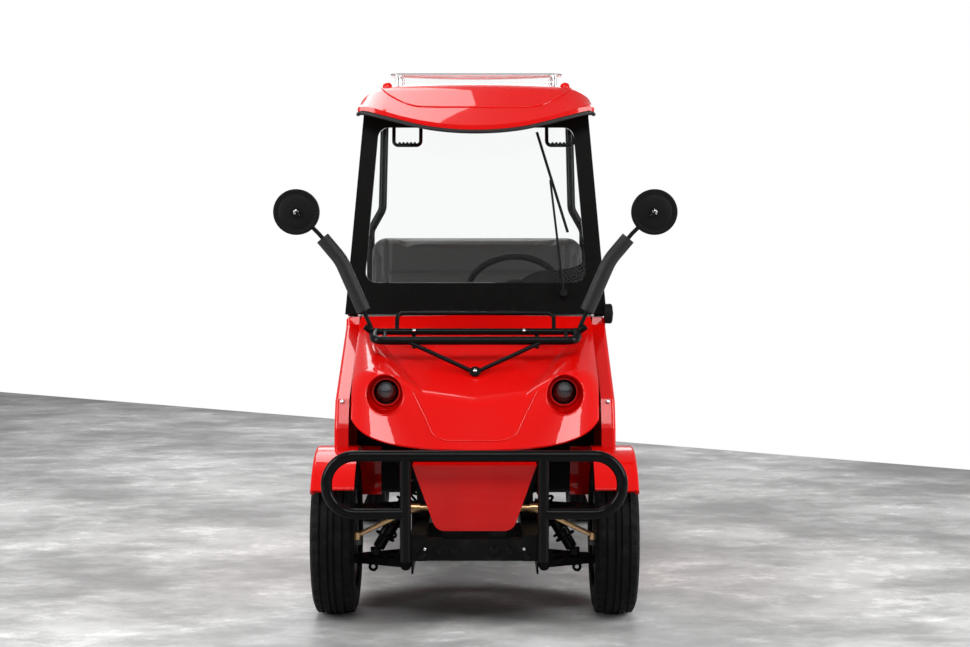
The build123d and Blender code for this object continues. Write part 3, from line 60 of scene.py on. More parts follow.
class Field:
    """A socket of a node tree, so that shader maths reads as Python expressions."""

    def __init__(self, nodes, socket):
        self.nodes = nodes
        self.socket = socket

    def _math(self, operation, a, b=None):
        inputs = {0: a} if b is None else {0: a, 1: b}
        return self.nodes.node("ShaderNodeMath", {"operation": operation}, inputs)

    def __add__(self, other):
        return self._math("ADD", self, other)

    __radd__ = __add__

    def __sub__(self, other):
        return self._math("SUBTRACT", self, other)

    def __rsub__(self, other):
        return self._math("SUBTRACT", other, self)

    def __mul__(self, other):
        return self._math("MULTIPLY", self, other)

    __rmul__ = __mul__

    def sine(self):
        return self._math("SINE", self)

    def at_least(self, low):
        return self._math("MAXIMUM", self, low)

    def at_most(self, high):
        return self._math("MINIMUM", self, high)


class Nodes:
    """A node tree whose nodes are made with their settings, then their values and links."""

    def __init__(self, tree):
        self.tree = tree

    def node(self, kind, settings=None, inputs=None, output=0):
        made = self.tree.nodes.new(kind)
        for key, value in (settings or {}).items():
            setattr(made, key, value)
        for key, value in (inputs or {}).items():
            if isinstance(value, Field):
                self.tree.links.new(value.socket, made.inputs[key])
            else:
                made.inputs[key].default_value = value
        return Field(self, made.outputs[output])

    def ray(self, kind):
        return self.node("ShaderNodeLightPath", output=f"Is {kind} Ray")

    def mix_to(self, end, amount, low, high):
        """Mixes two shaders and leads the mix to the tree's end."""
        mixed = self.node("ShaderNodeMixShader", inputs={0: amount, 1: low, 2: high})
        self.tree.links.new(mixed.socket, self.tree.nodes[end].inputs["Surface"])


class Finish(Nodes):
    """A material built from one Principled shader, with its constants set on the shader's sockets."""

    def __init__(self, name, **constants):
        self.material = bpy.data.materials.new(name)
        self.material.use_nodes = True
        super().__init__(self.material.node_tree)
        self.shader = self.tree.nodes["Principled BSDF"]
        for key, value in constants.items():
            self.shader.inputs[key.replace("_", " ")].default_value = value

    def place(self):
        return self.node("ShaderNodeTexCoord", output="Object")

    def axis(self, letter, vector=None):
        return self.node("ShaderNodeSeparateXYZ", inputs={0: vector or self.place()}, output=letter)

    def noise(self, scale, detail=3.0, vector=None, roughness=0.5):
        return self.node(
            "ShaderNodeTexNoise",
            inputs={"Vector": vector or self.place(), "Scale": scale, "Detail": detail, "Roughness": roughness},
        )

    def cells(self, scale, feature="F1", output="Distance"):
        return self.node(
            "ShaderNodeTexVoronoi",
            {"feature": feature},
            {"Vector": self.place(), "Scale": scale},
            output,
        )

    def stretched(self, x, y, z):
        return self.node("ShaderNodeMapping", inputs={"Vector": self.place(), "Scale": (x, y, z)})

    def band(self, field, low, high):
        return self.node(
            "ShaderNodeMapRange",
            {"interpolation_type": "SMOOTHSTEP"},
            {"Value": field, "From Min": low, "From Max": high},
        )

    def blend(self, amount, low, high):
        return self.node("ShaderNodeMix", {"data_type": "RGBA"}, {0: amount, 6: low, 7: high}, output=2)

    def feed(self, **links):
        for key, field in links.items():
            self.tree.links.new(field.socket, self.shader.inputs[key.replace("_", " ")])
        return self

    def bump(self, height, distance, strength, rounding=0.0):
        inputs = {"Height": height, "Distance": distance, "Strength": strength}
        if rounding:
            inputs["Normal"] = self.node("ShaderNodeBevel", {"samples": 4}, {"Radius": rounding})
        return self.feed(Normal=self.node("ShaderNodeBump", inputs=inputs))


def rgba(colour, share=1.0):
    """A colour property as four numbers, darkened or lightened by a share."""
    return (colour[0] * share, colour[1] * share, colour[2] * share, 1.0)


def tint(name, default, words):
    return bpy.props.FloatVectorProperty(
        name=name, description=words, default=default, subtype="COLOR", size=3, min=0.0, max=1.0
    )


def length(name, default, words):
    return bpy.props.FloatProperty(name=name, description=words, default=default, unit="LENGTH", min=0.0)


class CartColours(bpy.types.PropertyGroup):
    """Colours of the cart's finishes."""

    body: tint("Body", (0.76, 0.002, 0.001), "Gloss paint of the roof, hood and panels")
    tube: tint("Tube", (0.003, 0.003, 0.0033), "Powder coat of the bull bar, rack and posts")
    chassis: tint("Chassis", (0.005, 0.005, 0.0053), "Satin coat of the frame and arms")
    plastic: tint("Plastic", (0.006, 0.006, 0.0063), "Grained plastic of the dashboard and floor")
    border: tint("Screen border", (0.004, 0.004, 0.0038), "Painted border of the screen")
    vinyl: tint("Seat vinyl", (0.024, 0.0245, 0.0235), "Cover of the seat and back rest")
    rubber: tint("Rubber", (0.005, 0.005, 0.005), "Tyres and trim")
    zinc: tint("Zinc", (0.66, 0.47, 0.20), "Yellow plated tie rods")
    silver: tint("Rim", (0.55, 0.56, 0.58), "Wheel rims")
    floor: tint("Floor", (0.52, 0.525, 0.52), "Polished concrete under the cart")


class CartSizes(bpy.types.PropertyGroup):
    """Sizes of the cart's dressing and the place of its camera."""

    tread_depth: length("Tread depth", 0.006, "Depth of the grooves of the tyres")
    trim_radius: length("Roof trim", 0.007, "Radius of the rubber edge of the visor")
    wire: length("Spring wire", 0.009, "Diameter of the coil springs' wire")
    bead: length("Body bead", 0.0035, "Radius of the raised lines of the roof and hood")
    pad_swell: length("Pad swell", 0.018, "How far a cushion may swell from its foam")
    camera_height: length("Camera height", 1.30, "Height of the camera over the floor")
    camera_back: length("Camera distance", 6.32, "Distance from the camera to the middle of the cart")
    camera_side: length("Camera offset", 0.032, "Sideways place of the camera")


def colours():
    return bpy.context.scene.cart_colours


def sizes():
    return bpy.context.scene.cart_sizes


FINISHES = {}


def finish(make):
    """Builds a finish once and gives its material."""
    if make.__name__ not in FINISHES:
        FINISHES[make.__name__] = make().material
    return FINISHES[make.__name__]


def body_paint():
    made = Finish("body_paint", Coat_Weight=0.55, Coat_Roughness=0.02, Specular_IOR_Level=0.06)
    red = colours().body
    made.feed(Base_Color=made.blend(made.noise(2.5, 2.0), rgba(red, 0.86), rgba(red)))
    made.feed(Roughness=made.noise(60.0, 2.0) * 0.06 + 0.28)
    return made.bump(made.noise(420.0, 1.0), 0.00012, 0.25, rounding=0.0025)


def tube_coat():
    made = Finish("tube_coat", Specular_IOR_Level=0.05, Coat_Weight=0.12, Coat_Roughness=0.05)
    black = colours().tube
    made.feed(Base_Color=made.blend(made.noise(9.0), rgba(black), rgba(black, 1.7)))
    made.feed(Roughness=made.noise(35.0, 2.0) * 0.12 + 0.24)
    return made.bump(made.noise(700.0, 2.0), 0.00016, 0.35, rounding=0.0015)


def chassis_coat():
    made = Finish("chassis_coat", Specular_IOR_Level=0.08)
    dust = made.band(made.noise(14.0, 6.0, roughness=0.65), 0.5, 0.78)
    made.feed(Base_Color=made.blend(dust, rgba(colours().chassis), (0.018, 0.017, 0.016, 1.0)))
    made.feed(Roughness=dust * 0.3 + 0.42)
    return made.bump(made.noise(260.0, 4.0), 0.0004, 0.4, rounding=0.002)


def grained_plastic():
    made = Finish("grained_plastic", Specular_IOR_Level=0.08)
    black = colours().plastic
    made.feed(Base_Color=made.blend(made.noise(6.0, 4.0), rgba(black), rgba(black, 1.8)))
    made.feed(Roughness=made.noise(90.0, 2.0) * 0.2 + 0.42)
    return made.bump(made.cells(700.0), 0.0003, 0.5, rounding=0.002)


def screen_border():
    made = Finish("screen_border", Specular_IOR_Level=0.04, Coat_Weight=0.06, Coat_Roughness=0.04)
    black = colours().border
    made.feed(Base_Color=made.blend(made.noise(4.0), rgba(black), rgba(black, 1.5)))
    made.feed(Roughness=made.noise(20.0, 3.0) * 0.1 + 0.22)
    return made.bump(made.noise(500.0, 1.0), 0.0001, 0.2, rounding=0.002)


def clear_glass(name, colour, ior):
    made = Finish(name, IOR=ior, Transmission_Weight=1.0, Base_Color=colour)
    haze = made.band(made.noise(7.0, 5.0, roughness=0.7), 0.55, 0.9)
    return made.feed(Roughness=haze * 0.03)


def screen_glass():
    return clear_glass("screen_glass", (0.94, 0.96, 0.955, 1.0), 1.22)


def panel_sheet():
    return clear_glass("panel_sheet", (0.97, 0.975, 0.97, 1.0), 1.45)


def lamp_glass():
    return clear_glass("lamp_glass", (0.82, 0.84, 0.86, 1.0), 1.45)


def seat_vinyl():
    made = Finish("seat_vinyl", Specular_IOR_Level=0.3, Sheen_Weight=0.06)
    grey = colours().vinyl
    fold = made.noise(22.0, 4.0)
    made.feed(Base_Color=made.blend(fold, rgba(grey, 0.75), rgba(grey)))
    made.feed(Roughness=fold * 0.16 + 0.42)
    grain = made.cells(330.0, "DISTANCE_TO_EDGE").at_most(0.12)
    return made.bump(grain + fold * 0.25, 0.0012, 0.5)


def tyre_rubber():
    made = Finish("tyre_rubber", Specular_IOR_Level=0.1)
    dust = made.band(made.noise(26.0, 6.0, roughness=0.7), 0.45, 0.8)
    made.feed(Base_Color=made.blend(dust, rgba(colours().rubber), (0.018, 0.0175, 0.0165, 1.0)))
    made.feed(Roughness=dust * 0.22 + 0.62)
    return made.bump(made.noise(480.0, 3.0), 0.0005, 0.45)


def soft_trim():
    made = Finish("soft_trim", IOR=1.48)
    black = colours().rubber
    made.feed(Base_Color=made.blend(made.noise(30.0), rgba(black), rgba(black, 2.2)))
    made.feed(Roughness=made.noise(50.0) * 0.2 + 0.45)
    return made.bump(made.noise(300.0), 0.0004, 0.4)


def sleeve_foam():
    made = Finish("sleeve_foam", Specular_IOR_Level=0.35, Sheen_Weight=0.02)
    pore = made.cells(520.0)
    made.feed(Base_Color=made.blend(pore, (0.004, 0.004, 0.004, 1.0), (0.014, 0.014, 0.0145, 1.0)))
    made.feed(Roughness=made.noise(40.0) * 0.15 + 0.42)
    return made.bump(pore + made.noise(60.0) * 0.8, 0.0009, 0.55)


def zinc_plate():
    made = Finish("zinc_plate", Metallic=1.0)
    film = made.noise(38.0, 3.0)
    made.feed(Base_Color=made.blend(film, (0.70, 0.40, 0.24, 1.0), rgba(colours().zinc)))
    made.feed(Roughness=made.noise(120.0) * 0.18 + 0.22)
    return made.bump(made.noise(350.0), 0.0002, 0.3, rounding=0.001)


def axle_casting():
    made = Finish("axle_casting", IOR=1.5)
    grime = made.band(made.noise(18.0, 6.0, roughness=0.7), 0.42, 0.75)
    made.feed(Base_Color=made.blend(grime, (0.045, 0.046, 0.05, 1.0), (0.10, 0.092, 0.08, 1.0)))
    made.feed(Roughness=grime * 0.3 + 0.45, Metallic=1.0 - grime * 0.7 - 0.25)
    return made.bump(made.noise(160.0, 5.0), 0.0009, 0.5, rounding=0.002)


def turned_steel():
    made = Finish("turned_steel", Metallic=1.0)
    line = made.noise(180.0, 2.0, made.stretched(1.0, 1.0, 14.0))
    made.feed(Base_Color=made.blend(line, (0.55, 0.55, 0.56, 1.0), (0.80, 0.80, 0.81, 1.0)))
    made.feed(Roughness=line * 0.18 + 0.14)
    return made.bump(line, 0.0002, 0.2, rounding=0.0008)


def rim_paint():
    made = Finish("rim_paint", Coat_Weight=0.5, Coat_Roughness=0.08)
    silver = colours().silver
    made.feed(Base_Color=made.blend(made.noise(16.0, 5.0), rgba(silver, 0.8), rgba(silver)))
    spark = made.axis("X", made.cells(1500.0, output="Color"))
    made.feed(Roughness=spark * 0.16 + 0.26, Metallic=spark * 0.3 + 0.65)
    return made.bump(made.noise(220.0), 0.0003, 0.3, rounding=0.0015)


def mirror_silver():
    made = Finish("mirror_silver", Metallic=1.0, Base_Color=(0.88, 0.89, 0.9, 1.0))
    return made.feed(Roughness=made.band(made.noise(9.0, 5.0), 0.55, 0.9) * 0.05)


def dark_chrome():
    made = Finish("dark_chrome", Metallic=1.0)
    smear = made.noise(45.0, 3.0)
    made.feed(Base_Color=made.blend(smear, (0.05, 0.05, 0.055, 1.0), (0.16, 0.16, 0.17, 1.0)))
    return made.feed(Roughness=smear * 0.12 + 0.06)


def tail_lens():
    made = Finish("tail_lens", IOR=1.49, Coat_Weight=1.0, Coat_Roughness=0.03)
    prism = (made.axis("X") * 900.0).sine() * (made.axis("Z") * 900.0).sine()
    made.feed(Base_Color=made.blend(prism * 0.5 + 0.5, (0.30, 0.002, 0.003, 1.0), (0.62, 0.012, 0.01, 1.0)))
    made.feed(Roughness=prism * 0.08 + 0.22)
    return made.bump(prism, 0.0006, 0.6, rounding=0.003)


def battery_case():
    made = Finish("battery_case", IOR=1.46)
    ridge = (made.axis("X") * 240.0).sine()
    made.feed(Base_Color=made.blend(made.noise(10.0, 4.0), (0.02, 0.021, 0.024, 1.0), (0.06, 0.06, 0.06, 1.0)))
    made.feed(Roughness=made.noise(60.0) * 0.2 + 0.5)
    return made.bump(ridge.at_least(0.6), 0.003, 0.5, rounding=0.003)


def deck_plate():
    made = Finish("deck_plate", IOR=1.46)
    x, y = made.axis("X") * 260.0, made.axis("Y") * 260.0
    stud = ((x + y).sine() * (x - y).sine()).at_least(0.35)
    dirt = made.band(made.noise(9.0, 6.0), 0.45, 0.8)
    made.feed(Base_Color=made.blend(dirt, (0.028, 0.028, 0.029, 1.0), (0.075, 0.072, 0.066, 1.0)))
    made.feed(Roughness=dirt * 0.25 + 0.5)
    return made.bump(stud, 0.0016, 0.6, rounding=0.001)


NODE_FINISHES = {
    body_paint: "headlamps hood nose_panel front_fenders side_panels rocker_panels rear_body roof",
    tube_coat: "bull_bar roof_posts front_rack rear_bumper",
    chassis_coat: "frame front_arms front_shocks rear_springs",
    grained_plastic: "steering_column floor_pan dashboard seat_base wiper mirrors pedals steering_wheel",
    screen_border: "windshield_frame",
    screen_glass: "windshield",
    panel_sheet: "roof_panel",
    lamp_glass: "headlamp_lenses",
    seat_vinyl: "seat_cushion seat_back",
    sleeve_foam: "mirror_sleeves",
    zinc_plate: "tie_rods",
    axle_casting: "steering_gear rear_axle knuckle_left knuckle_right",
    turned_steel: "roof_studs",
    rim_paint: "rim_front_left rim_front_right rim_rear_left rim_rear_right",
    tyre_rubber: "tyre_front_left tyre_front_right tyre_rear_left tyre_rear_right",
    mirror_silver: "mirror_glasses",
    tail_lens: "tail_lamps",
    battery_case: "battery_pack",
    deck_plate: "cargo_deck",
}


class CART_OT_finishes(bpy.types.Operator):
    """Gives every node of the frame its finish"""

    bl_idname = "cart.finishes"
    bl_label = "Paint the frame's pieces"

    def execute(self, context):
        for make, names in NODE_FINISHES.items():
            for name in names.split():
                slots = NODES[name].data.materials
                slots.clear()
                slots.append(finish(make))
        return {"FINISHED"}


def add_piece(form, name, make, body="chassis", hides=(), crease=35.0):
    """Puts a form in the scene as a piece that rides on a body."""
    shape = bpy.data.meshes.new(name)
    bmesh.ops.recalc_face_normals(form, faces=form.faces[:])
    form.to_mesh(shape)
    form.free()
    made = bpy.data.objects.new(name, shape)
    bpy.context.scene.collection.objects.link(made)
    shape.materials.append(finish(make))
    shape.shade_smooth()
    shape.set_sharp_from_angle(angle=math.radians(crease))
    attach(made, body)
    if hides:
        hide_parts(*hides)


def aft(distance):
    """Place along the cart, in metres, of a distance in millimetres aft of the bull bar."""
    return (distance - 1200.0) * MM


def placed(rows, drop=0.0):
    """Points in metres of rows in millimetres: side offset, distance aft, height."""
    return [(x * MM, aft(y), z * MM - drop) for x, y, z in rows]


def both_sides(half):
    """A line of points from one side of the cart to the other, from the half that starts in the middle."""
    return [(-x, y, z) for x, y, z in reversed(half[1:])] + list(half)


def loop_skin(form, rings, closed=False):
    """Skins rings of points that have the same count; closed joins the last ring to the first."""
    rows = [[form.verts.new(point) for point in ring] for ring in rings]
    count = len(rows[0])
    pairs = list(zip(rows, rows[1:]))
    if closed:
        pairs.append((rows[-1], rows[0]))
    for low, high in pairs:
        for i in range(count):
            j = (i + 1) % count
            form.faces.new((low[i], low[j], high[j], high[i]))
    if not closed:
        form.faces.new(reversed(rows[0]))
        form.faces.new(rows[-1])


def axes_about(line):
    """Two unit vectors square to a line."""
    line = line.normalized()
    other = Vector((0, 0, 1)) if abs(line.z) < 0.9 else Vector((1, 0, 0))
    u = line.cross(other).normalized()
    return u, line.cross(u).normalized()


def angles(count, turn=0.0):
    """Even angles once round a circle."""
    return [turn + 2 * math.pi * i / count for i in range(count)]


def upright_ring(x, y, z, radius, count):
    """Points of a circle that faces along the cart."""
    return [(x + radius * math.cos(a), y, z + radius * math.sin(a)) for a in angles(count)]


def turned(form, start, line, outline, count=32, turn=0.0):
    """Skins a solid of revolution: outline lists distance along the line and radius."""
    start, line = Vector(start), Vector(line).normalized()
    u, v = axes_about(line)
    rings = []
    for along, radius in outline:
        centre = start + line * along
        spokes = [u * math.cos(a) + v * math.sin(a) for a in angles(count, turn)]
        rings.append([centre + spoke * max(radius, 1e-5) for spoke in spokes])
    loop_skin(form, rings)


# Outlines of a bolt: share of the head's height, share of the hexagon's radius
WASHER = ((0, 1.35), (0.22, 1.35), (0.26, 1.3))
HEXAGON = ((0.22, 1), (0.9, 1), (1, 0.84), (1.02, 0.3))


def hex_head(form, place, line, width, height):
    """A bolt head with a chamfered top on a washer."""
    r = width / math.sqrt(3.0)
    for outline, count, turn in ((WASHER, 24, 0.0), (HEXAGON, 6, math.pi / 6)):
        turned(form, place, line, [(height * a, r * b) for a, b in outline], count, turn)


def dome_head(form, place, line, radius, height):
    """A round pan head with a socket dimple."""
    steps = 7
    outline = [(0, radius)]
    for i in range(1, steps):
        a = math.pi / 2 * i / steps
        outline.append((height * math.sin(a), radius * (0.32 + 0.68 * math.cos(a))))
    outline += [(height * 0.98, radius * 0.30), (height * 0.45, radius * 0.24)]
    turned(form, place, line, outline, 20)


def tube_along(form, points, radius, count=14, closed=False):
    """Skins a round tube along points, carrying its section round the bends."""
    points = [Vector(p) for p in points]
    heading = (points[1] - points[0]).normalized()
    u, v = axes_about(heading)
    end = len(points) - 1
    rings = []
    for i, point in enumerate(points):
        if closed:
            ahead = points[(i + 1) % len(points)] - points[i - 1]
        else:
            ahead = points[min(i + 1, end)] - points[max(i - 1, 0)]
        turn = heading.rotation_difference(ahead.normalized())
        u, v, heading = turn @ u, turn @ v, ahead.normalized()
        rings.append([point + (u * math.cos(a) + v * math.sin(a)) * radius for a in angles(count)])
    loop_skin(form, rings, closed)


def smooth_path(points, count):
    """Evenly parted points of a smooth curve through some points."""
    points = [Vector(p) for p in points]
    ends = [2 * points[0] - points[1], *points, 2 * points[-1] - points[-2]]
    made = []
    for i in range(len(points) - 1):
        a, b, c, d = ends[i:i + 4]
        for k in range(count):
            t = k / count
            made.append(
                0.5 * ((2 * b) + (c - a) * t + (2 * a - 5 * b + 4 * c - d) * t**2 + (3 * b - a - 3 * c + d) * t**3)
            )
    return made + [points[-1]]


CORNERS = {"front_left": 1, "front_right": -1, "rear_left": 1, "rear_right": -1}
TREAD_STEPS = 144
CUT_EVERY = 4
# Half of the tyre's section, in millimetres: place across the tread, radius, and depth of the cross cuts there
TYRE_HALF = (
    (0.0, 254.0, 0.0), (5.5, 254.0, 0.8), (7.0, 248.5, 0.0), (12.5, 248.5, 0.0), (14.0, 253.8, 0.8),
    (24.0, 253.5, 3.0), (33.0, 253.0, 0.8), (34.5, 247.5, 0.0), (40.0, 247.5, 0.0), (41.5, 252.4, 0.5),
    (49.0, 251.6, 5.5), (57.0, 250.4, 5.5), (61.5, 247.5, 4.5), (65.5, 240.0, 1.5), (68.2, 231.0, 0.0),
    (69.6, 230.0, 0.0), (71.2, 218.0, 0.0), (72.4, 205.0, 0.0), (72.0, 192.0, 0.0), (70.6, 184.0, 0.0),
    (71.3, 182.5, 0.0), (70.4, 181.0, 0.0), (67.8, 174.0, 0.0), (61.5, 169.5, 0.0), (46.4, 166.8, 0.0),
    (45.5, 152.6, 0.0),
)
# Width and groove depth that the section is drawn for
DRAWN_WIDTH, DRAWN_DEPTH = 0.145, 0.006
# Wheel nuts: circle, place out from the middle, width, height, and the stud's place on the nut
NUT_CIRCLE, NUT_OUT, NUT_WIDTH, NUT_HEIGHT, STUD_OUT = 0.047, 0.0335, 0.019, 0.014, 0.013
STUD_END = ((0, 0.006), (0.006, 0.006), (0.0075, 0.0045))
CAP_OUT = 0.0455
WHEEL_CAP = ((0, 0.026), (0.004, 0.026), (0.010, 0.020), (0.012, 0.008))
VALVE_OUT, VALVE_UP, VALVE_LEAN = 0.034, 0.118, -0.35
VALVE = ((0, 0.006), (0.014, 0.0045), (0.016, 0.0035), (0.026, 0.0035), (0.028, 0.0028))


def tyre_form(centre, wide, depth_scale):
    """A tyre with its grooves and cross cuts."""
    form = bmesh.new()
    section = both_sides(TYRE_HALF)
    rings = []
    for step, angle in enumerate(angles(TREAD_STEPS)):
        ring = []
        for x, r, cut in section:
            shift = 1 if x > 0 else 2
            notch = cut if (step + shift) % CUT_EVERY == 0 else 0.0
            radius = (r - notch * depth_scale) * MM
            ring.append(centre + Vector((x * MM * wide, radius * math.cos(angle), radius * math.sin(angle))))
        rings.append(ring)
    loop_skin(form, rings, closed=True)
    return form


class CART_OT_wheels(bpy.types.Operator):
    """Makes the treaded tyres, and the nuts, caps and valves of the wheels"""

    bl_idname = "cart.wheels"
    bl_label = "Dress the wheels"

    def execute(self, context):
        scale = sizes().tread_depth / DRAWN_DEPTH
        for corner, side in CORNERS.items():
            tyre, body = "tyre_" + corner, "wheel_" + corner
            low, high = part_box(tyre)
            centre = (Vector(low) + Vector(high)) / 2
            form = tyre_form(centre, (high[0] - low[0]) / DRAWN_WIDTH, scale)
            add_piece(form, "tread_" + corner, tyre_rubber, body, (tyre,), crease=28)
            form = bmesh.new()
            out = Vector((side, 0, 0))
            for a in angles(4, math.pi / 4):
                foot = centre + Vector((side * NUT_OUT, NUT_CIRCLE * math.cos(a), NUT_CIRCLE * math.sin(a)))
                hex_head(form, foot, out, NUT_WIDTH, NUT_HEIGHT)
                turned(form, foot + out * STUD_OUT, out, STUD_END, 16)
            turned(form, centre + out * CAP_OUT, out, WHEEL_CAP)
            add_piece(form, "nuts_" + corner, turned_steel, body)
            form = bmesh.new()
            turned(form, centre + Vector((side * VALVE_OUT, 0, VALVE_UP)), (side, 0, VALVE_LEAN), VALVE, 14)
            add_piece(form, "valve_" + corner, soft_trim, body)
        return {"FINISHED"}


# Eyes of a front damper: place across, along and up
SHOCK_FOOT = (0.318, -0.820, 0.2003)
SHOCK_HEAD = (0.152, -0.820, 0.482)
EYE_REACH = 0.0375
EYE = ((0, 0.011), (0.006, 0.0138), (2 * EYE_REACH - 0.006, 0.0138), (2 * EYE_REACH, 0.011))
SPRING_SEAT = ((0, 0.030), (0.001, 0.034), (0.005, 0.034), (0.006, 0.030))
COIL_TURNS, COIL_STEPS, COIL_RADIUS = 6.5, 26, 0.0295
# Where the coil starts over the lower eye and ends short of the upper one, and how much its ends close up
COIL_FIRST, COIL_LAST, COIL_SQUASH = 0.060, 0.045, 0.035


class CART_OT_springs(bpy.types.Operator):
    """Winds the coil springs round the front dampers"""

    bl_idname = "cart.springs"
    bl_label = "Wind the front springs"

    def execute(self, context):
        form = bmesh.new()
        for side in SIDES:
            foot, head = (Vector((side * x, y, z)) for x, y, z in (SHOCK_FOOT, SHOCK_HEAD))
            line = head - foot
            u, v = axes_about(line)
            span = line.length
            unit = line.normalized()
            damper = (
                (0.012, 0.019), (0.050, 0.019), (0.052, 0.023),
                (span * 0.55, 0.023), (span * 0.56, 0.009), (span - 0.012, 0.009),
            )
            turned(form, foot, line, damper, 24)
            for along in (0.054, span - 0.039):
                turned(form, foot + unit * (along - 0.003), line, SPRING_SEAT)
            reach = span - COIL_LAST - COIL_FIRST
            path = []
            for i in range(int(COIL_TURNS * COIL_STEPS) + 1):
                share = i / (COIL_TURNS * COIL_STEPS)
                squash = share + COIL_SQUASH * math.sin(2 * math.pi * share)
                a = 2 * math.pi * COIL_TURNS * share
                spoke = (u * math.cos(a) + v * math.sin(a)) * COIL_RADIUS
                path.append(foot + unit * (COIL_FIRST + reach * squash) + spoke)
            tube_along(form, path, sizes().wire / 2, 10)
            for eye in (foot, head):
                turned(form, eye - Vector((0, EYE_REACH, 0)), (0, 1, 0), EYE, 24)
        add_piece(form, "shock_pair", tube_coat, hides=("front_shocks",))
        return {"FINISHED"}


# Half of the roof's lower edge, in millimetres: side offset, distance aft, height
ROOF_EDGE = (
    (0, 850, 1570), (156, 866, 1582), (313, 916, 1620), (385, 948, 1639), (405, 960, 1640), (415, 972, 1636),
    (415, 1085, 1646), (415, 1300, 1656), (415, 1480, 1664), (415, 1640, 1655), (414, 1782, 1647),
)
# Stand-offs of the roof panel in millimetres, with the foot of their washers in metres
STUD_SIDES, STUD_AFTS, WASHER_FOOT = (-284, 284), (1180, 1480), 1.7775
STUD_WASHER = ((0, 0.011), (0.0035, 0.011), (0.005, 0.0095))
ROOF_LUG_PLACE = (0.318, 1120, 1.728)
ROOF_LUG = ((0, 0.020), (0.012, 0.018), (0.022, 0.015), (0.027, 0.009), (0.028, 0.002))


class CART_OT_roof_trim(bpy.types.Operator):
    """Runs the rubber edge round the roof and sets its lugs and stand-off washers"""

    bl_idname = "cart.roof_trim"
    bl_label = "Trim the roof"

    def execute(self, context):
        form = bmesh.new()
        radius = sizes().trim_radius
        tube_along(form, smooth_path(placed(both_sides(ROOF_EDGE), radius * 0.3), 8), radius, 12)
        add_piece(form, "roof_edge_trim", soft_trim)
        form = bmesh.new()
        for x in STUD_SIDES:
            for y in STUD_AFTS:
                turned(form, (x * MM, aft(y), WASHER_FOOT), (0, 0, 1), STUD_WASHER, 28)
        add_piece(form, "panel_washers", turned_steel)
        form = bmesh.new()
        x, y, z = ROOF_LUG_PLACE
        for side in SIDES:
            turned(form, (side * x, aft(y), z), (side * 0.12, -0.05, 1), ROOF_LUG, 20)
        add_piece(form, "roof_lugs", body_paint)
        return {"FINISHED"}


AHEAD = Vector((0, -1, 0))
# Middle of a lamp as side offset and height, and radius of the lip round its well
LAMP = (0.286, 0.714)
LIP_R = 0.0612
# Outlines of a lamp's pieces, from the back forwards, after the distance aft of each
BOWL_AFT, BEZEL_AFT, CORE_AFT, COVER_AFT = 403, 404.5, 403.6, 403.7
BOWL = (
    (0.001, 0.0392), (0.004, 0.0398), (0.008, 0.0425), (0.013, 0.0485), (0.020, 0.0545), (0.029, 0.0582),
    (0.0295, 0.0587), (0.001, 0.0587),
)
BEZEL = (
    (0.0, 0.0368),
    *((0.0195 + 0.0030 * math.sin(a), 0.0385 + 0.0022 * math.cos(a)) for a in (-1.2, -0.4, 0.4, 1.2, 2.0, 2.8)),
    (0.0195, 0.0362), (0.001, 0.0362),
)
CORE = (
    (0, 0.035), (0.002, 0.0355), (0.007, 0.033), (0.0035, 0.0295), (0.0045, 0.0288), (0.0075, 0.0275),
    (0.0115, 0.0235), (0.0142, 0.0165), (0.0155, 0.0085), (0.0158, 0.0005),
)
COVER = ((0.004, 0.0358), (0.017, 0.0356), (0.0205, 0.034), (0.0228, 0.028), (0.0242, 0.017), (0.0247, 0.0005))
COVER_INSIDE = tuple((along - 0.0016, max(r - 0.0014, 0.0004)) for along, r in reversed(COVER))


class CART_OT_lamps(bpy.types.Operator):
    """Builds the bowls, bezels, projectors and covers of the headlamps"""

    bl_idname = "cart.lamps"
    bl_label = "Build the headlamps"

    def execute(self, context):
        rows = (
            ("lamp_bowls", body_paint, "body_red", BOWL_AFT, BOWL, 64, (), 35),
            ("lamp_bezels", screen_border, "screen_border", BEZEL_AFT, BEZEL, 48, (), 35),
            ("lamp_projectors", dark_chrome, "plastic_black", CORE_AFT, CORE, 48, (), 20),
            ("lamp_covers", lamp_glass, "lamp_lens", COVER_AFT, COVER + COVER_INSIDE, 48, ("headlamp_lenses",), 35),
        )
        for name, make, slot, distance, outline, count, hides, crease in rows:
            form = bmesh.new()
            for side in SIDES:
                turned(form, (side * LAMP[0], aft(distance), LAMP[1]), AHEAD, outline, count)
            add_piece(form, name, make, hides=hides, crease=crease)
        return {"FINISHED"}


# Domed bolts: place in millimetres as side offset, distance aft, height; direction; head width
BRIGHT_BOLTS = (
    ((-204, 590, 898), (0, -0.75, 0.66), 12), ((162, 590, 898), (0, -0.75, 0.66), 12),
    ((0, 402, 781), (0, -0.8, 0.6), 14),
    ((-352, 592, 902), (0, -1, 0.1), 13), ((352, 592, 902), (0, -1, 0.1), 13),
    ((-428, 389.8, 682), (0, -0.9, 0.44), 15), ((428, 389.8, 682), (0, -0.9, 0.44), 15),
    ((-448, 877, 990), (-1, 0, 0), 10), ((448, 877, 990), (1, 0, 0), 10),
    ((-151, 35, 272), (0, -1, 0), 11), ((151, 35, 272), (0, -1, 0), 11),
)
DOME_HIGH, HEX_HIGH = 0.36, 0.62
# Hexagon bolts of the front channel: side offset and height, then distance aft and head width
CHANNEL_BOLTS = ((60, 268), (108, 268), (163, 250))
CHANNEL_AFT, CHANNEL_HEAD = 35, 17


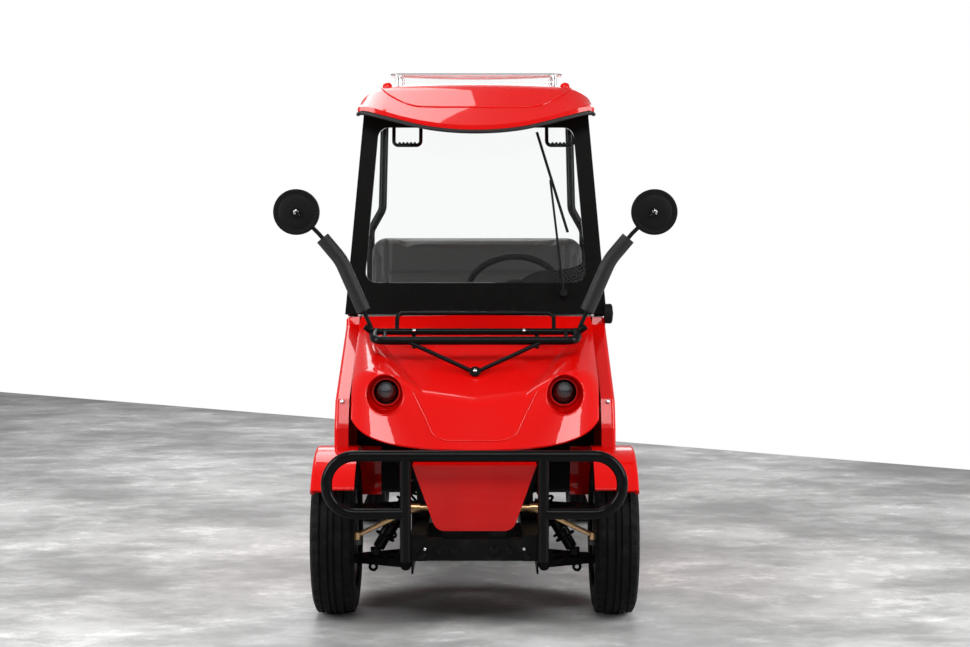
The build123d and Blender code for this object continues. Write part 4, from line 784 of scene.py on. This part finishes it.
class CART_OT_fasteners(bpy.types.Operator):
    """Sets the small bolts that show"""

    bl_idname = "cart.fasteners"
    bl_label = "Set the fasteners"

    def execute(self, context):
        form = bmesh.new()
        for (x, y, z), line, width in BRIGHT_BOLTS:
            place = Vector((x * MM, aft(y), z * MM))
            dome_head(form, place, line, width * MM * 0.5, width * MM * DOME_HIGH)
        add_piece(form, "bright_bolts", turned_steel)
        form = bmesh.new()
        width = CHANNEL_HEAD * MM
        for side in SIDES:
            for x, z in CHANNEL_BOLTS:
                hex_head(form, Vector((side * x * MM, aft(CHANNEL_AFT), z * MM)), AHEAD, width, width * HEX_HIGH)
        add_piece(form, "channel_bolts", tube_coat)
        return {"FINISHED"}


# Middle of a mirror's back as side offset and height
MIRROR = (0.594, 1.291)
MIRROR_BACK = (
    (-0.004, 0.0745), (-0.001, 0.0742), (0.0012, 0.0715), (0.0012, 0.064), (0.0004, 0.062), (0.0004, 0.058),
    (0.0018, 0.056), (0.0036, 0.034), (0.0044, 0.018), (0.0046, 0.0005),
)
# Clamp arm of a mirror: side offset, place ahead of the mirror's front, height
CLAMP_ARM = ((0.594, 0.006, 1.296), (0.590, 0.0075, 1.286), (0.583, 0.0045, 1.276))
CLAMP_RADIUS, CLAMP_AHEAD = 0.0075, 0.0035
CLAMP_DISC = ((0, 0.015), (0.003, 0.015), (0.0045, 0.0135))
MIRROR_BOLT_AHEAD, MIRROR_BOLT_WIDTH, MIRROR_BOLT_HEIGHT = 0.0075, 0.012, 0.0065


class CART_OT_mirrors(bpy.types.Operator):
    """Dishes the backs of the mirrors and adds their clamps and bolts"""

    bl_idname = "cart.mirrors"
    bl_label = "Dress the mirrors"

    def execute(self, context):
        back, clamp, bolt = (bmesh.new() for _ in range(3))
        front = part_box("mirrors")[0][1]
        for side in SIDES:
            middle = Vector((side * MIRROR[0], front, MIRROR[1]))
            turned(back, middle, AHEAD, MIRROR_BACK, 64)
            arm = [(side * x, front - ahead, z) for x, ahead, z in CLAMP_ARM]
            tube_along(clamp, smooth_path(arm, 6), CLAMP_RADIUS, 12)
            turned(clamp, middle + AHEAD * CLAMP_AHEAD, AHEAD, CLAMP_DISC, 28)
            bolt_foot = middle + AHEAD * MIRROR_BOLT_AHEAD
            hex_head(bolt, bolt_foot, AHEAD, MIRROR_BOLT_WIDTH, MIRROR_BOLT_HEIGHT)
        add_piece(back, "mirror_backs", grained_plastic)
        add_piece(clamp, "mirror_clamps", tube_coat)
        add_piece(bolt, "mirror_bolts", turned_steel)
        return {"FINISHED"}


# Size of the foam's even mesh, and frames for which its cover is blown up
FOAM_VOXEL, SWELL_FRAMES = 0.007, 20
# Bench: lower band that stays put, band that eases into the swell, edge that swells less, and the sewn lines
BENCH_FOOT, BENCH_EASE, BENCH_EDGE, BENCH_EDGE_SHARE = 0.02, 0.05, 0.05, 0.55
BENCH_SEWN, BENCH_ROWS, BENCH_SIDE, BENCH_MIDDLE_WIDTH, BENCH_DEPTH = 0.03, (0.36, 0.68), 0.30, 0.012, 0.008
# Back rest: tilt, rear band that stays put, band that eases into the swell, front that is sewn, and the sewn lines
BACK_TILT = math.radians(12.0)
BACK_FOOT, BACK_EASE, BACK_SEWN = 0.02, 0.04, 0.05
BACK_SIDE, BACK_LEVEL, BACK_DEPTH = 0.345, 0.30, 0.007
SEAM_WIDTH = 0.009


def keep_modified(made):
    """Bakes an object's modifiers into its mesh."""
    graph = bpy.context.evaluated_depsgraph_get()
    shape = bpy.data.meshes.new_from_object(made.evaluated_get(graph))
    made.modifiers.clear()
    old = made.data
    made.data = shape
    bpy.data.meshes.remove(old)


def foam_copy(node, name):
    """Copies a node's mesh into a new object and remeshes it finely and evenly."""
    shape = NODES[node].data.copy()
    shape.name = name
    made = bpy.data.objects.new(name, shape)
    bpy.context.scene.collection.objects.link(made)
    remesh = made.modifiers.new("even", "REMESH")
    remesh.mode = "VOXEL"
    remesh.voxel_size = FOAM_VOXEL
    keep_modified(made)
    return made


def swell(made, held):
    """Inflates a pad as cloth under pressure, moves no point past the cap and keeps held points."""
    cap = sizes().pad_swell
    rest = [v.co.copy() for v in made.data.vertices]
    cloth = made.modifiers.new("pad", "CLOTH")
    cloth.settings.quality = 5
    cloth.settings.use_pressure = True
    cloth.settings.uniform_pressure_force = 4.0
    cloth.settings.effector_weights.gravity = 0.0
    cloth.settings.tension_stiffness = 12.0
    cloth.settings.bending_stiffness = 1.5
    cloth.point_cache.frame_start = 1
    cloth.point_cache.frame_end = SWELL_FRAMES
    for step in range(1, SWELL_FRAMES + 1):
        bpy.context.scene.frame_set(step)
    keep_modified(made)
    bpy.context.scene.frame_set(1)
    for v, start in zip(made.data.vertices, rest):
        move = v.co - start
        if move.length > cap:
            move = move.normalized() * cap
        v.co = start + move * held(start)


def press(made, groove, depth):
    """Draws a pad in along sewn lines: groove gives each point's share of the depth."""
    made.data.update()
    normals = [v.normal.copy() for v in made.data.vertices]
    for v, normal in zip(made.data.vertices, normals):
        share = groove(v.co)
        if share > 0:
            v.co -= normal * depth * share


def line_share(distance, width=SEAM_WIDTH):
    """One on a sewn line, fading to none at its width."""
    return math.exp(-((distance / width) ** 2) * 3.0)


def eased(distance, reach):
    """None at no distance, rising to one at the reach."""
    return min(max(distance / reach, 0.0), 1.0)


def sew_bench():
    """The bench cushion, swollen and sewn in rows between its side panels."""
    low, high = (Vector(c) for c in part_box("seat_cushion"))
    bench = foam_copy("seat_cushion", "bench_pad")
    foot = low.z + BENCH_FOOT

    def held(p):
        edge = min(p.x - low.x, high.x - p.x, p.y - low.y, high.y - p.y)
        share = BENCH_EDGE_SHARE + (1.0 - BENCH_EDGE_SHARE) * eased(edge, BENCH_EDGE)
        return eased(p.z - foot, BENCH_EASE) * share

    def seams(p):
        if p.z < foot + BENCH_SEWN:
            return 0.0
        across = line_share(abs(p.x), BENCH_MIDDLE_WIDTH)
        rows = max(line_share(abs(p.y - low.y - share * (high.y - low.y))) for share in BENCH_ROWS)
        side = line_share(abs(abs(p.x) - BENCH_SIDE))
        return max(across, rows if abs(p.x) < BENCH_SIDE else 0.0, side)

    swell(bench, held)
    press(bench, seams, BENCH_DEPTH)
    return bench


def sew_back():
    """The back rest, swollen and sewn along its sides and once across."""
    back = foam_copy("seat_back", "back_pad")
    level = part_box("seat_back")[0][2] + BACK_LEVEL
    out = Vector((0, -math.cos(BACK_TILT), math.sin(BACK_TILT)))
    rear = max(-out.dot(Vector(v.co)) for v in back.data.vertices)

    def held(p):
        return eased(rear + out.dot(p) - BACK_FOOT, BACK_EASE)

    def seams(p):
        if rear + out.dot(p) < BACK_SEWN:
            return 0.0
        border = line_share(abs(abs(p.x) - BACK_SIDE))
        return max(border, line_share(abs(p.z - level)) if abs(p.x) < BACK_SIDE else 0.0)

    swell(back, held)
    press(back, seams, BACK_DEPTH)
    return back


class CART_OT_seat(bpy.types.Operator):
    """Swells and sews the bench cushion and the back rest"""

    bl_idname = "cart.seat"
    bl_label = "Sew the seat"

    def execute(self, context):
        for pad, node in ((sew_bench(), "seat_cushion"), (sew_back(), "seat_back")):
            smooth = pad.modifiers.new("skin", "SMOOTH")
            smooth.factor = 0.5
            smooth.iterations = 3
            keep_modified(pad)
            pad.data.materials.clear()
            pad.data.materials.append(finish(seat_vinyl))
            pad.data.shade_smooth()
            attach(pad, "chassis")
            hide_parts(node)
        return {"FINISHED"}


def laid_on(name, points, line):
    """Points carried along a line onto the outer skin of a node."""
    node = NODES[name]
    corners = [node.matrix_world @ corner.co for corner in node.data.vertices]
    skin = BVHTree.FromPolygons(corners, [tuple(face.vertices) for face in node.data.polygons])
    line = Vector(line).normalized()
    return [skin.ray_cast(Vector(point) - line, line)[0] for point in points]


# Half outlines in millimetres: side offset, distance aft, height near the skin
ROOF_INSET = (
    (0, 952, 1660), (100, 952, 1660), (190, 954, 1660), (226, 963, 1666), (255, 979, 1676), (285, 1004, 1692),
    (314, 1036, 1710), (334, 1078, 1720), (342, 1130, 1725), (343, 1300, 1730), (341, 1460, 1730),
    (332, 1530, 1725), (306, 1574, 1720), (262, 1592, 1720), (180, 1600, 1720), (90, 1602, 1720),
)
HOOD_CREASE = (
    (0, 149, 587), (60, 153, 587), (92, 159, 588), (114, 167, 595), (130, 180, 607), (144, 202, 633),
    (159, 227, 661), (175, 250, 690), (189, 272, 716), (200, 287, 731),
)
# Way onto the hood's crease, shares of the bead there and on the lips of the lamp wells, and where the lips start
ONTO_HOOD = Vector((0, 0.8, -0.6))
CREASE_SHARE, LIP_SHARE, LIP_AFT = 0.7, 0.75, 300


class CART_OT_body_lines(bpy.types.Operator):
    """Lays the inset edge of the roof, the crease of the hood and the lips of the lamp wells"""

    bl_idname = "cart.body_lines"
    bl_label = "Draw the body's lines"

    def execute(self, context):
        bead = sizes().bead
        form = bmesh.new()
        path = smooth_path(laid_on("roof", placed(both_sides(ROOF_INSET)), (0, 0, -1)), 6)
        tube_along(form, path, bead, 12, closed=True)
        add_piece(form, "roof_inset", body_paint)
        form = bmesh.new()
        path = smooth_path(laid_on("hood", placed(both_sides(HOOD_CREASE)), ONTO_HOOD), 6)
        for end in (0, -1):
            path[end] += ONTO_HOOD * bead
        tube_along(form, path, bead * CREASE_SHARE, 12)
        for side in SIDES:
            ring = upright_ring(side * LAMP[0], aft(LIP_AFT), LAMP[1], LIP_R, 60)
            tube_along(form, laid_on("hood", ring, (0, 1, 0)), bead * LIP_SHARE, 12, closed=True)
        add_piece(form, "hood_lines", body_paint)
        return {"FINISHED"}


# Lower bars of the two grab handles: side offset of each middle, then distance aft, height and slope of both
GRIPS = (-0.245, 0.300)
GRIP_AFT, GRIP_HEIGHT, GRIP_UP = 1037.7, 1.5274, (0, 0.24, 0.97)
BUMP_COUNT, BUMP_STEP = 5, 0.0135
BUMP = ((-0.005, 0.0058), (0.004, 0.0060), (0.0085, 0.0050), (0.0112, 0.0030), (0.012, 0.0006))
STEER_MIDDLE = (0.140, -0.080, 0.998)
STEER_PITCH = math.radians(38.0)
HUB_CAP = (
    (0.021, 0.036), (0.027, 0.0355), (0.031, 0.032), (0.0325, 0.024), (0.0315, 0.021), (0.0335, 0.019),
    (0.035, 0.006),
)
SIDE_CAP_PLACE = (0.448, 864, 0.937)
SIDE_CAP = (
    (0, 0.034), (0.020, 0.035), (0.025, 0.033), (0.028, 0.026), (0.0275, 0.012), (0.030, 0.010), (0.031, 0.002),
)


class CART_OT_small_parts(bpy.types.Operator):
    """Adds the finger bumps of the grab handles, the hub cap of the steering wheel and the side cap"""

    bl_idname = "cart.small_parts"
    bl_label = "Add the small parts"

    def execute(self, context):
        form = bmesh.new()
        for middle in GRIPS:
            for k in range(BUMP_COUNT):
                across = middle + BUMP_STEP * (k - BUMP_COUNT // 2)
                turned(form, (across, aft(GRIP_AFT), GRIP_HEIGHT), GRIP_UP, BUMP, 16)
        add_piece(form, "grip_bumps", grained_plastic)
        form = bmesh.new()
        turned(form, STEER_MIDDLE, (0, math.cos(STEER_PITCH), math.sin(STEER_PITCH)), HUB_CAP, 40)
        add_piece(form, "hub_cap", soft_trim, "steering_wheel")
        form = bmesh.new()
        x, y, z = SIDE_CAP_PLACE
        turned(form, (x, aft(y), z), (1, 0, 0), SIDE_CAP, 40)
        add_piece(form, "side_cap", grained_plastic)
        return {"FINISHED"}


# Inner plates of the front fenders: middle of the arc as distance aft and height, with radii and side offsets
PLATE_MIDDLE = (365.0, 0.240)
PLATE_RADII = (0.2965, 0.3010)
PLATE_SIDES = (0.372, 0.454)
PLATE_ARC = (math.radians(41.5), math.radians(135.0))
PLATE_STEPS, PLATE_LIP = 40, 0.0045
# Tail lamp frames: middle, then half sizes to the centres of the corners, their radius and the frame's own
TAIL = (0.310, 1.134, 0.610)
TAIL_HALF, TAIL_CORNER, TAIL_TUBE = (0.029, 0.012), 0.022, 0.0055
# Corners of a frame: side, height, and where their quarter turn starts, in half turns
TAIL_TURNS = ((1, 1, 0.0), (-1, 1, 0.5), (-1, -1, 1.0), (1, -1, 1.5))
CORNER_STEPS = 6


class CART_OT_plates(bpy.types.Operator):
    """Closes the front fenders over the tyres and frames the tail lamps"""

    bl_idname = "cart.plates"
    bl_label = "Add the fender plates"

    def execute(self, context):
        form = bmesh.new()
        for side in SIDES:
            inner, outer = (side * x for x in PLATE_SIDES)
            rings = []
            for i in range(PLATE_STEPS + 1):
                a = PLATE_ARC[0] + (PLATE_ARC[1] - PLATE_ARC[0]) * i / PLATE_STEPS
                low, high = (
                    (aft(PLATE_MIDDLE[0]) - r * math.cos(a), PLATE_MIDDLE[1] + r * math.sin(a)) for r in PLATE_RADII
                )
                edges = ((inner, *low), (outer, *low), (outer, *high), (inner, *high))
                rings.append([Vector(edge) for edge in edges])
            loop_skin(form, rings)
            first = rings[0]
            tube_along(form, [(first[0] + first[3]) / 2, (first[1] + first[2]) / 2], PLATE_LIP, 12)
        add_piece(form, "fender_plates", body_paint)
        form = bmesh.new()
        for side in SIDES:
            loop = []
            for x, z, start in TAIL_TURNS:
                for k in range(CORNER_STEPS + 1):
                    a = math.pi * (start + k / (2 * CORNER_STEPS))
                    loop.append((
                        side * TAIL[0] + TAIL_HALF[0] * x + TAIL_CORNER * math.cos(a),
                        TAIL[1],
                        TAIL[2] + TAIL_HALF[1] * z + TAIL_CORNER * math.sin(a),
                    ))
            tube_along(form, loop, TAIL_TUBE, 12, closed=True)
        add_piece(form, "tail_frames", soft_trim)
        return {"FINISHED"}


# Half of the rack's front bar, which bends back to the rear bar, in millimetres: side offset, distance aft, height
RACK_BAR = (
    (0, 480, 872), (150, 480, 872), (280, 480, 872), (312, 484, 873), (330, 502, 876), (335, 535, 882),
    (332, 600, 893),
)
RACK_RADIUS = 0.0135
BRACE_PLACE, BRACE_LINE = (0, 406, 0.776), (0, -0.8, 0.6)
BRACE_PLATE = ((0, 0.018), (0.006, 0.018), (0.0075, 0.0165))
# Bar of a mirror's bracket, in metres but for the distance aft
BRACKET_BAR = ((0.368, 590, 0.911), (0.352, 593, 0.898), (0.334, 598, 0.884))
BRACKET_RADIUS = 0.0105
# Dark corner of the screen round the wiper's motor, in millimetres: side offset and height
WIPER_MASK = (
    (150, 1044), (176, 1066), (204, 1080), (244, 1087), (302, 1090), (338, 1096), (366, 1108), (384, 1130),
    (392, 1160), (404, 1044),
)
MASK_BACK = (7.5, 9.5)
# Foot of the screen's plane as distance aft and height, in millimetres, and its lean
SCREEN_FOOT = (853.0, 935.5)
SCREEN_LEAN = math.tan(math.radians(14.0))
# Lug of a lower arm: the eye's middle, radius and thickness, then the stem, in metres but for the distance aft
ARM_EYE, ARM_EYE_RADIUS, ARM_EYE_TUBE = (0.329, 372, 0.148), 0.011, 0.0048
ARM_STEM = ((0.329, 372, 0.161), (0.330, 374, 0.185), (0.332, 378, 0.212))
ARM_STEM_RADIUS = 0.0065


def on_screen(x, z, back):
    """Point of the screen's plane at a side offset and a height, set back from the plane."""
    return Vector((x * MM, aft(SCREEN_FOOT[0] + (z - SCREEN_FOOT[1]) * SCREEN_LEAN + back), z * MM))


class CART_OT_front_dressing(bpy.types.Operator):
    """Thickens the rack's front bar and adds its plates, the screen's dark corner and the lugs of the arms"""

    bl_idname = "cart.front_dressing"
    bl_label = "Dress the front"

    def execute(self, context):
        form = bmesh.new()
        tube_along(form, smooth_path(placed(both_sides(RACK_BAR)), 6), RACK_RADIUS, 18)
        x, y, z = BRACE_PLACE
        turned(form, (x, aft(y), z), BRACE_LINE, BRACE_PLATE, 28)
        for side in SIDES:
            tube_along(form, [(side * x, aft(y), z) for x, y, z in BRACKET_BAR], BRACKET_RADIUS)
        add_piece(form, "rack_dressing", tube_coat)
        form = bmesh.new()
        loop_skin(form, [[on_screen(x, z, back) for x, z in WIPER_MASK] for back in MASK_BACK])
        add_piece(form, "screen_mask", screen_border)
        form = bmesh.new()
        for side in SIDES:
            x, y, z = ARM_EYE
            eye = upright_ring(side * x, aft(y), z, ARM_EYE_RADIUS, 24)
            tube_along(form, eye, ARM_EYE_TUBE, 10, closed=True)
            tube_along(form, [(side * x, aft(y), z) for x, y, z in ARM_STEM], ARM_STEM_RADIUS, 12)
        add_piece(form, "arm_lugs", chassis_coat)
        return {"FINISHED"}


# Two points of the line across the floor beyond which it is white
FLOOR_EDGE = ((-3.44, 5.90), (2.42, 2.24))
FLOOR_HALF, FLOOR_DROP = 40.0, 0.0005
# Strength of the white surround as seen, as it lights the cart, and its share in gloss
SEEN_STRENGTH, SKY_STRENGTH, GLOSS_SHARE = 1.0, 0.18, 0.12
# Soft light boxes: place, target, width, height, power in watts
SOFT_BOXES = {
    "left_box": ((-4.2, -2.2, 2.5), (0, -0.5, 0.8), 1.4, 3.2, 165),
    "right_box": ((4.2, -2.2, 2.5), (0, -0.5, 0.8), 1.4, 3.2, 165),
    "front_box": ((0.0, -5.0, 5.9), (0, 0, 0.8), 4.0, 1.6, 165),
    "rear_box": ((0.0, 5.5, 3.4), (0, 0, 0.8), 3.2, 1.4, 60),
    "top_box": ((-1.15, 2.0, 4.0), (-0.6, 0.4, 0.8), 1.6, 2.6, 72),
}
SENSOR_MM, LENS_MM, PITCH_DOWN = 36.0, 63.8, 3.8


def concrete():
    """Polished concrete that ends in white along the back edge of the floor."""
    made = Finish("concrete", IOR=1.45)
    place = made.place()
    (x0, y0), (x1, y1) = FLOOR_EDGE
    slope = (y1 - y0) / (x1 - x0)
    beyond = made.axis("Y", place) - made.axis("X", place) * slope - (y0 - slope * x0)
    drift = made.stretched(0.7, 1.0, 1.0)
    cloud = made.noise(1.5, 10.0, drift, roughness=0.72)
    fleck = made.band(made.noise(5.5, 10.0, drift, roughness=0.8), 0.50, 0.60)
    worn = made.band(cloud, 0.36, 0.64) * 0.7 + fleck * made.band(cloud, 0.45, 0.60) * 0.5
    grey = colours().floor
    stone = made.blend(worn.at_most(1.0), rgba(grey, 0.66), rgba(grey, 1.6))
    far = made.band(beyond, -0.01, 0.01)
    made.feed(Base_Color=made.blend(far, stone, WHITE))
    made.feed(Roughness=worn * 0.25 + 0.4)
    made.bump(cloud, 0.002, 0.1)
    seen = (made.ray("Camera") + made.ray("Glossy") + made.ray("Transmission")).at_most(1.0)
    glow = made.node("ShaderNodeEmission", inputs={"Strength": SEEN_STRENGTH})
    made.mix_to("Material Output", far * seen, Field(made, made.shader.outputs[0]), glow)
    return made


def studio_world():
    """A white surround that lights the cart less than it shows."""
    world = bpy.data.worlds.new("studio")
    bpy.context.scene.world = world
    world.use_nodes = True
    nodes = Nodes(world.node_tree)
    sky = nodes.tree.nodes["Background"]
    sky.inputs["Color"].default_value = WHITE
    sky.inputs["Strength"].default_value = SKY_STRENGTH
    white = nodes.node("ShaderNodeBackground", inputs={"Color": WHITE, "Strength": SEEN_STRENGTH})
    seen = nodes.ray("Camera") + nodes.ray("Transmission") + nodes.ray("Glossy") * GLOSS_SHARE
    nodes.mix_to("World Output", seen.at_most(1.0), Field(nodes, sky.outputs[0]), white)


def soft_box(name, place, target, width, height, power):
    lamp = bpy.data.lights.new(name, "AREA")
    lamp.shape = "RECTANGLE"
    lamp.size, lamp.size_y = width, height
    lamp.energy = power
    holder = bpy.data.objects.new(name, lamp)
    holder.location = place
    holder.rotation_euler = (Vector(target) - Vector(place)).to_track_quat("-Z", "Y").to_euler()
    bpy.context.scene.collection.objects.link(holder)


class CART_OT_stage(bpy.types.Operator):
    """Sets the floor, the soft light and the camera"""

    bl_idname = "cart.stage"
    bl_label = "Set the stage"

    def execute(self, context):
        scene = context.scene
        scene.view_settings.view_transform = "Standard"
        shape = bpy.data.meshes.new("floor")
        corners = [(FLOOR_HALF * x, FLOOR_HALF * y, 0) for x, y in ((-1, -1), (1, -1), (1, 1), (-1, 1))]
        shape.from_pydata(corners, [], [(0, 1, 2, 3)])
        floor = bpy.data.objects.new("floor", shape)
        floor.location.z = -FLOOR_DROP
        scene.collection.objects.link(floor)
        shape.materials.append(finish(concrete))
        studio_world()
        for name, settings in SOFT_BOXES.items():
            soft_box(name, *settings)
        size = sizes()
        view = bpy.data.cameras.new("camera")
        view.sensor_width = SENSOR_MM
        view.lens = LENS_MM
        camera = bpy.data.objects.new("camera", view)
        camera.location = (size.camera_side, -size.camera_back, size.camera_height)
        camera.rotation_euler = (math.radians(90 - PITCH_DOWN), 0, 0)
        scene.collection.objects.link(camera)
        scene.camera = camera
        return {"FINISHED"}


class CART_PT_panel(bpy.types.Panel):
    """Lists the steps that dress the cart"""

    bl_idname = "CART_PT_panel"
    bl_label = "Golf Cart"
    bl_space_type = "VIEW_3D"
    bl_region_type = "UI"
    bl_category = "Golf Cart"

    def draw(self, context):
        for step in STEPS:
            self.layout.operator(step.bl_idname)
        for group in (context.scene.cart_colours, context.scene.cart_sizes):
            for key in group.__annotations__:
                self.layout.prop(group, key)


STEPS = (
    CART_OT_stage,
    CART_OT_finishes,
    CART_OT_wheels,
    CART_OT_springs,
    CART_OT_roof_trim,
    CART_OT_lamps,
    CART_OT_fasteners,
    CART_OT_mirrors,
    CART_OT_seat,
    CART_OT_body_lines,
    CART_OT_small_parts,
    CART_OT_plates,
    CART_OT_front_dressing,
)


def register():
    for kind in (CartColours, CartSizes, *STEPS, CART_PT_panel):
        bpy.utils.register_class(kind)
    bpy.types.Scene.cart_colours = bpy.props.PointerProperty(type=CartColours)
    bpy.types.Scene.cart_sizes = bpy.props.PointerProperty(type=CartSizes)


def unregister():
    del bpy.types.Scene.cart_sizes
    del bpy.types.Scene.cart_colours
    for kind in (CART_PT_panel, *reversed(STEPS), CartSizes, CartColours):
        bpy.utils.unregister_class(kind)


def main():
    register()
    for step in STEPS:
        group, name = step.bl_idname.split(".")
        getattr(getattr(bpy.ops, group), name)()


if __name__ == "__main__":
    main()
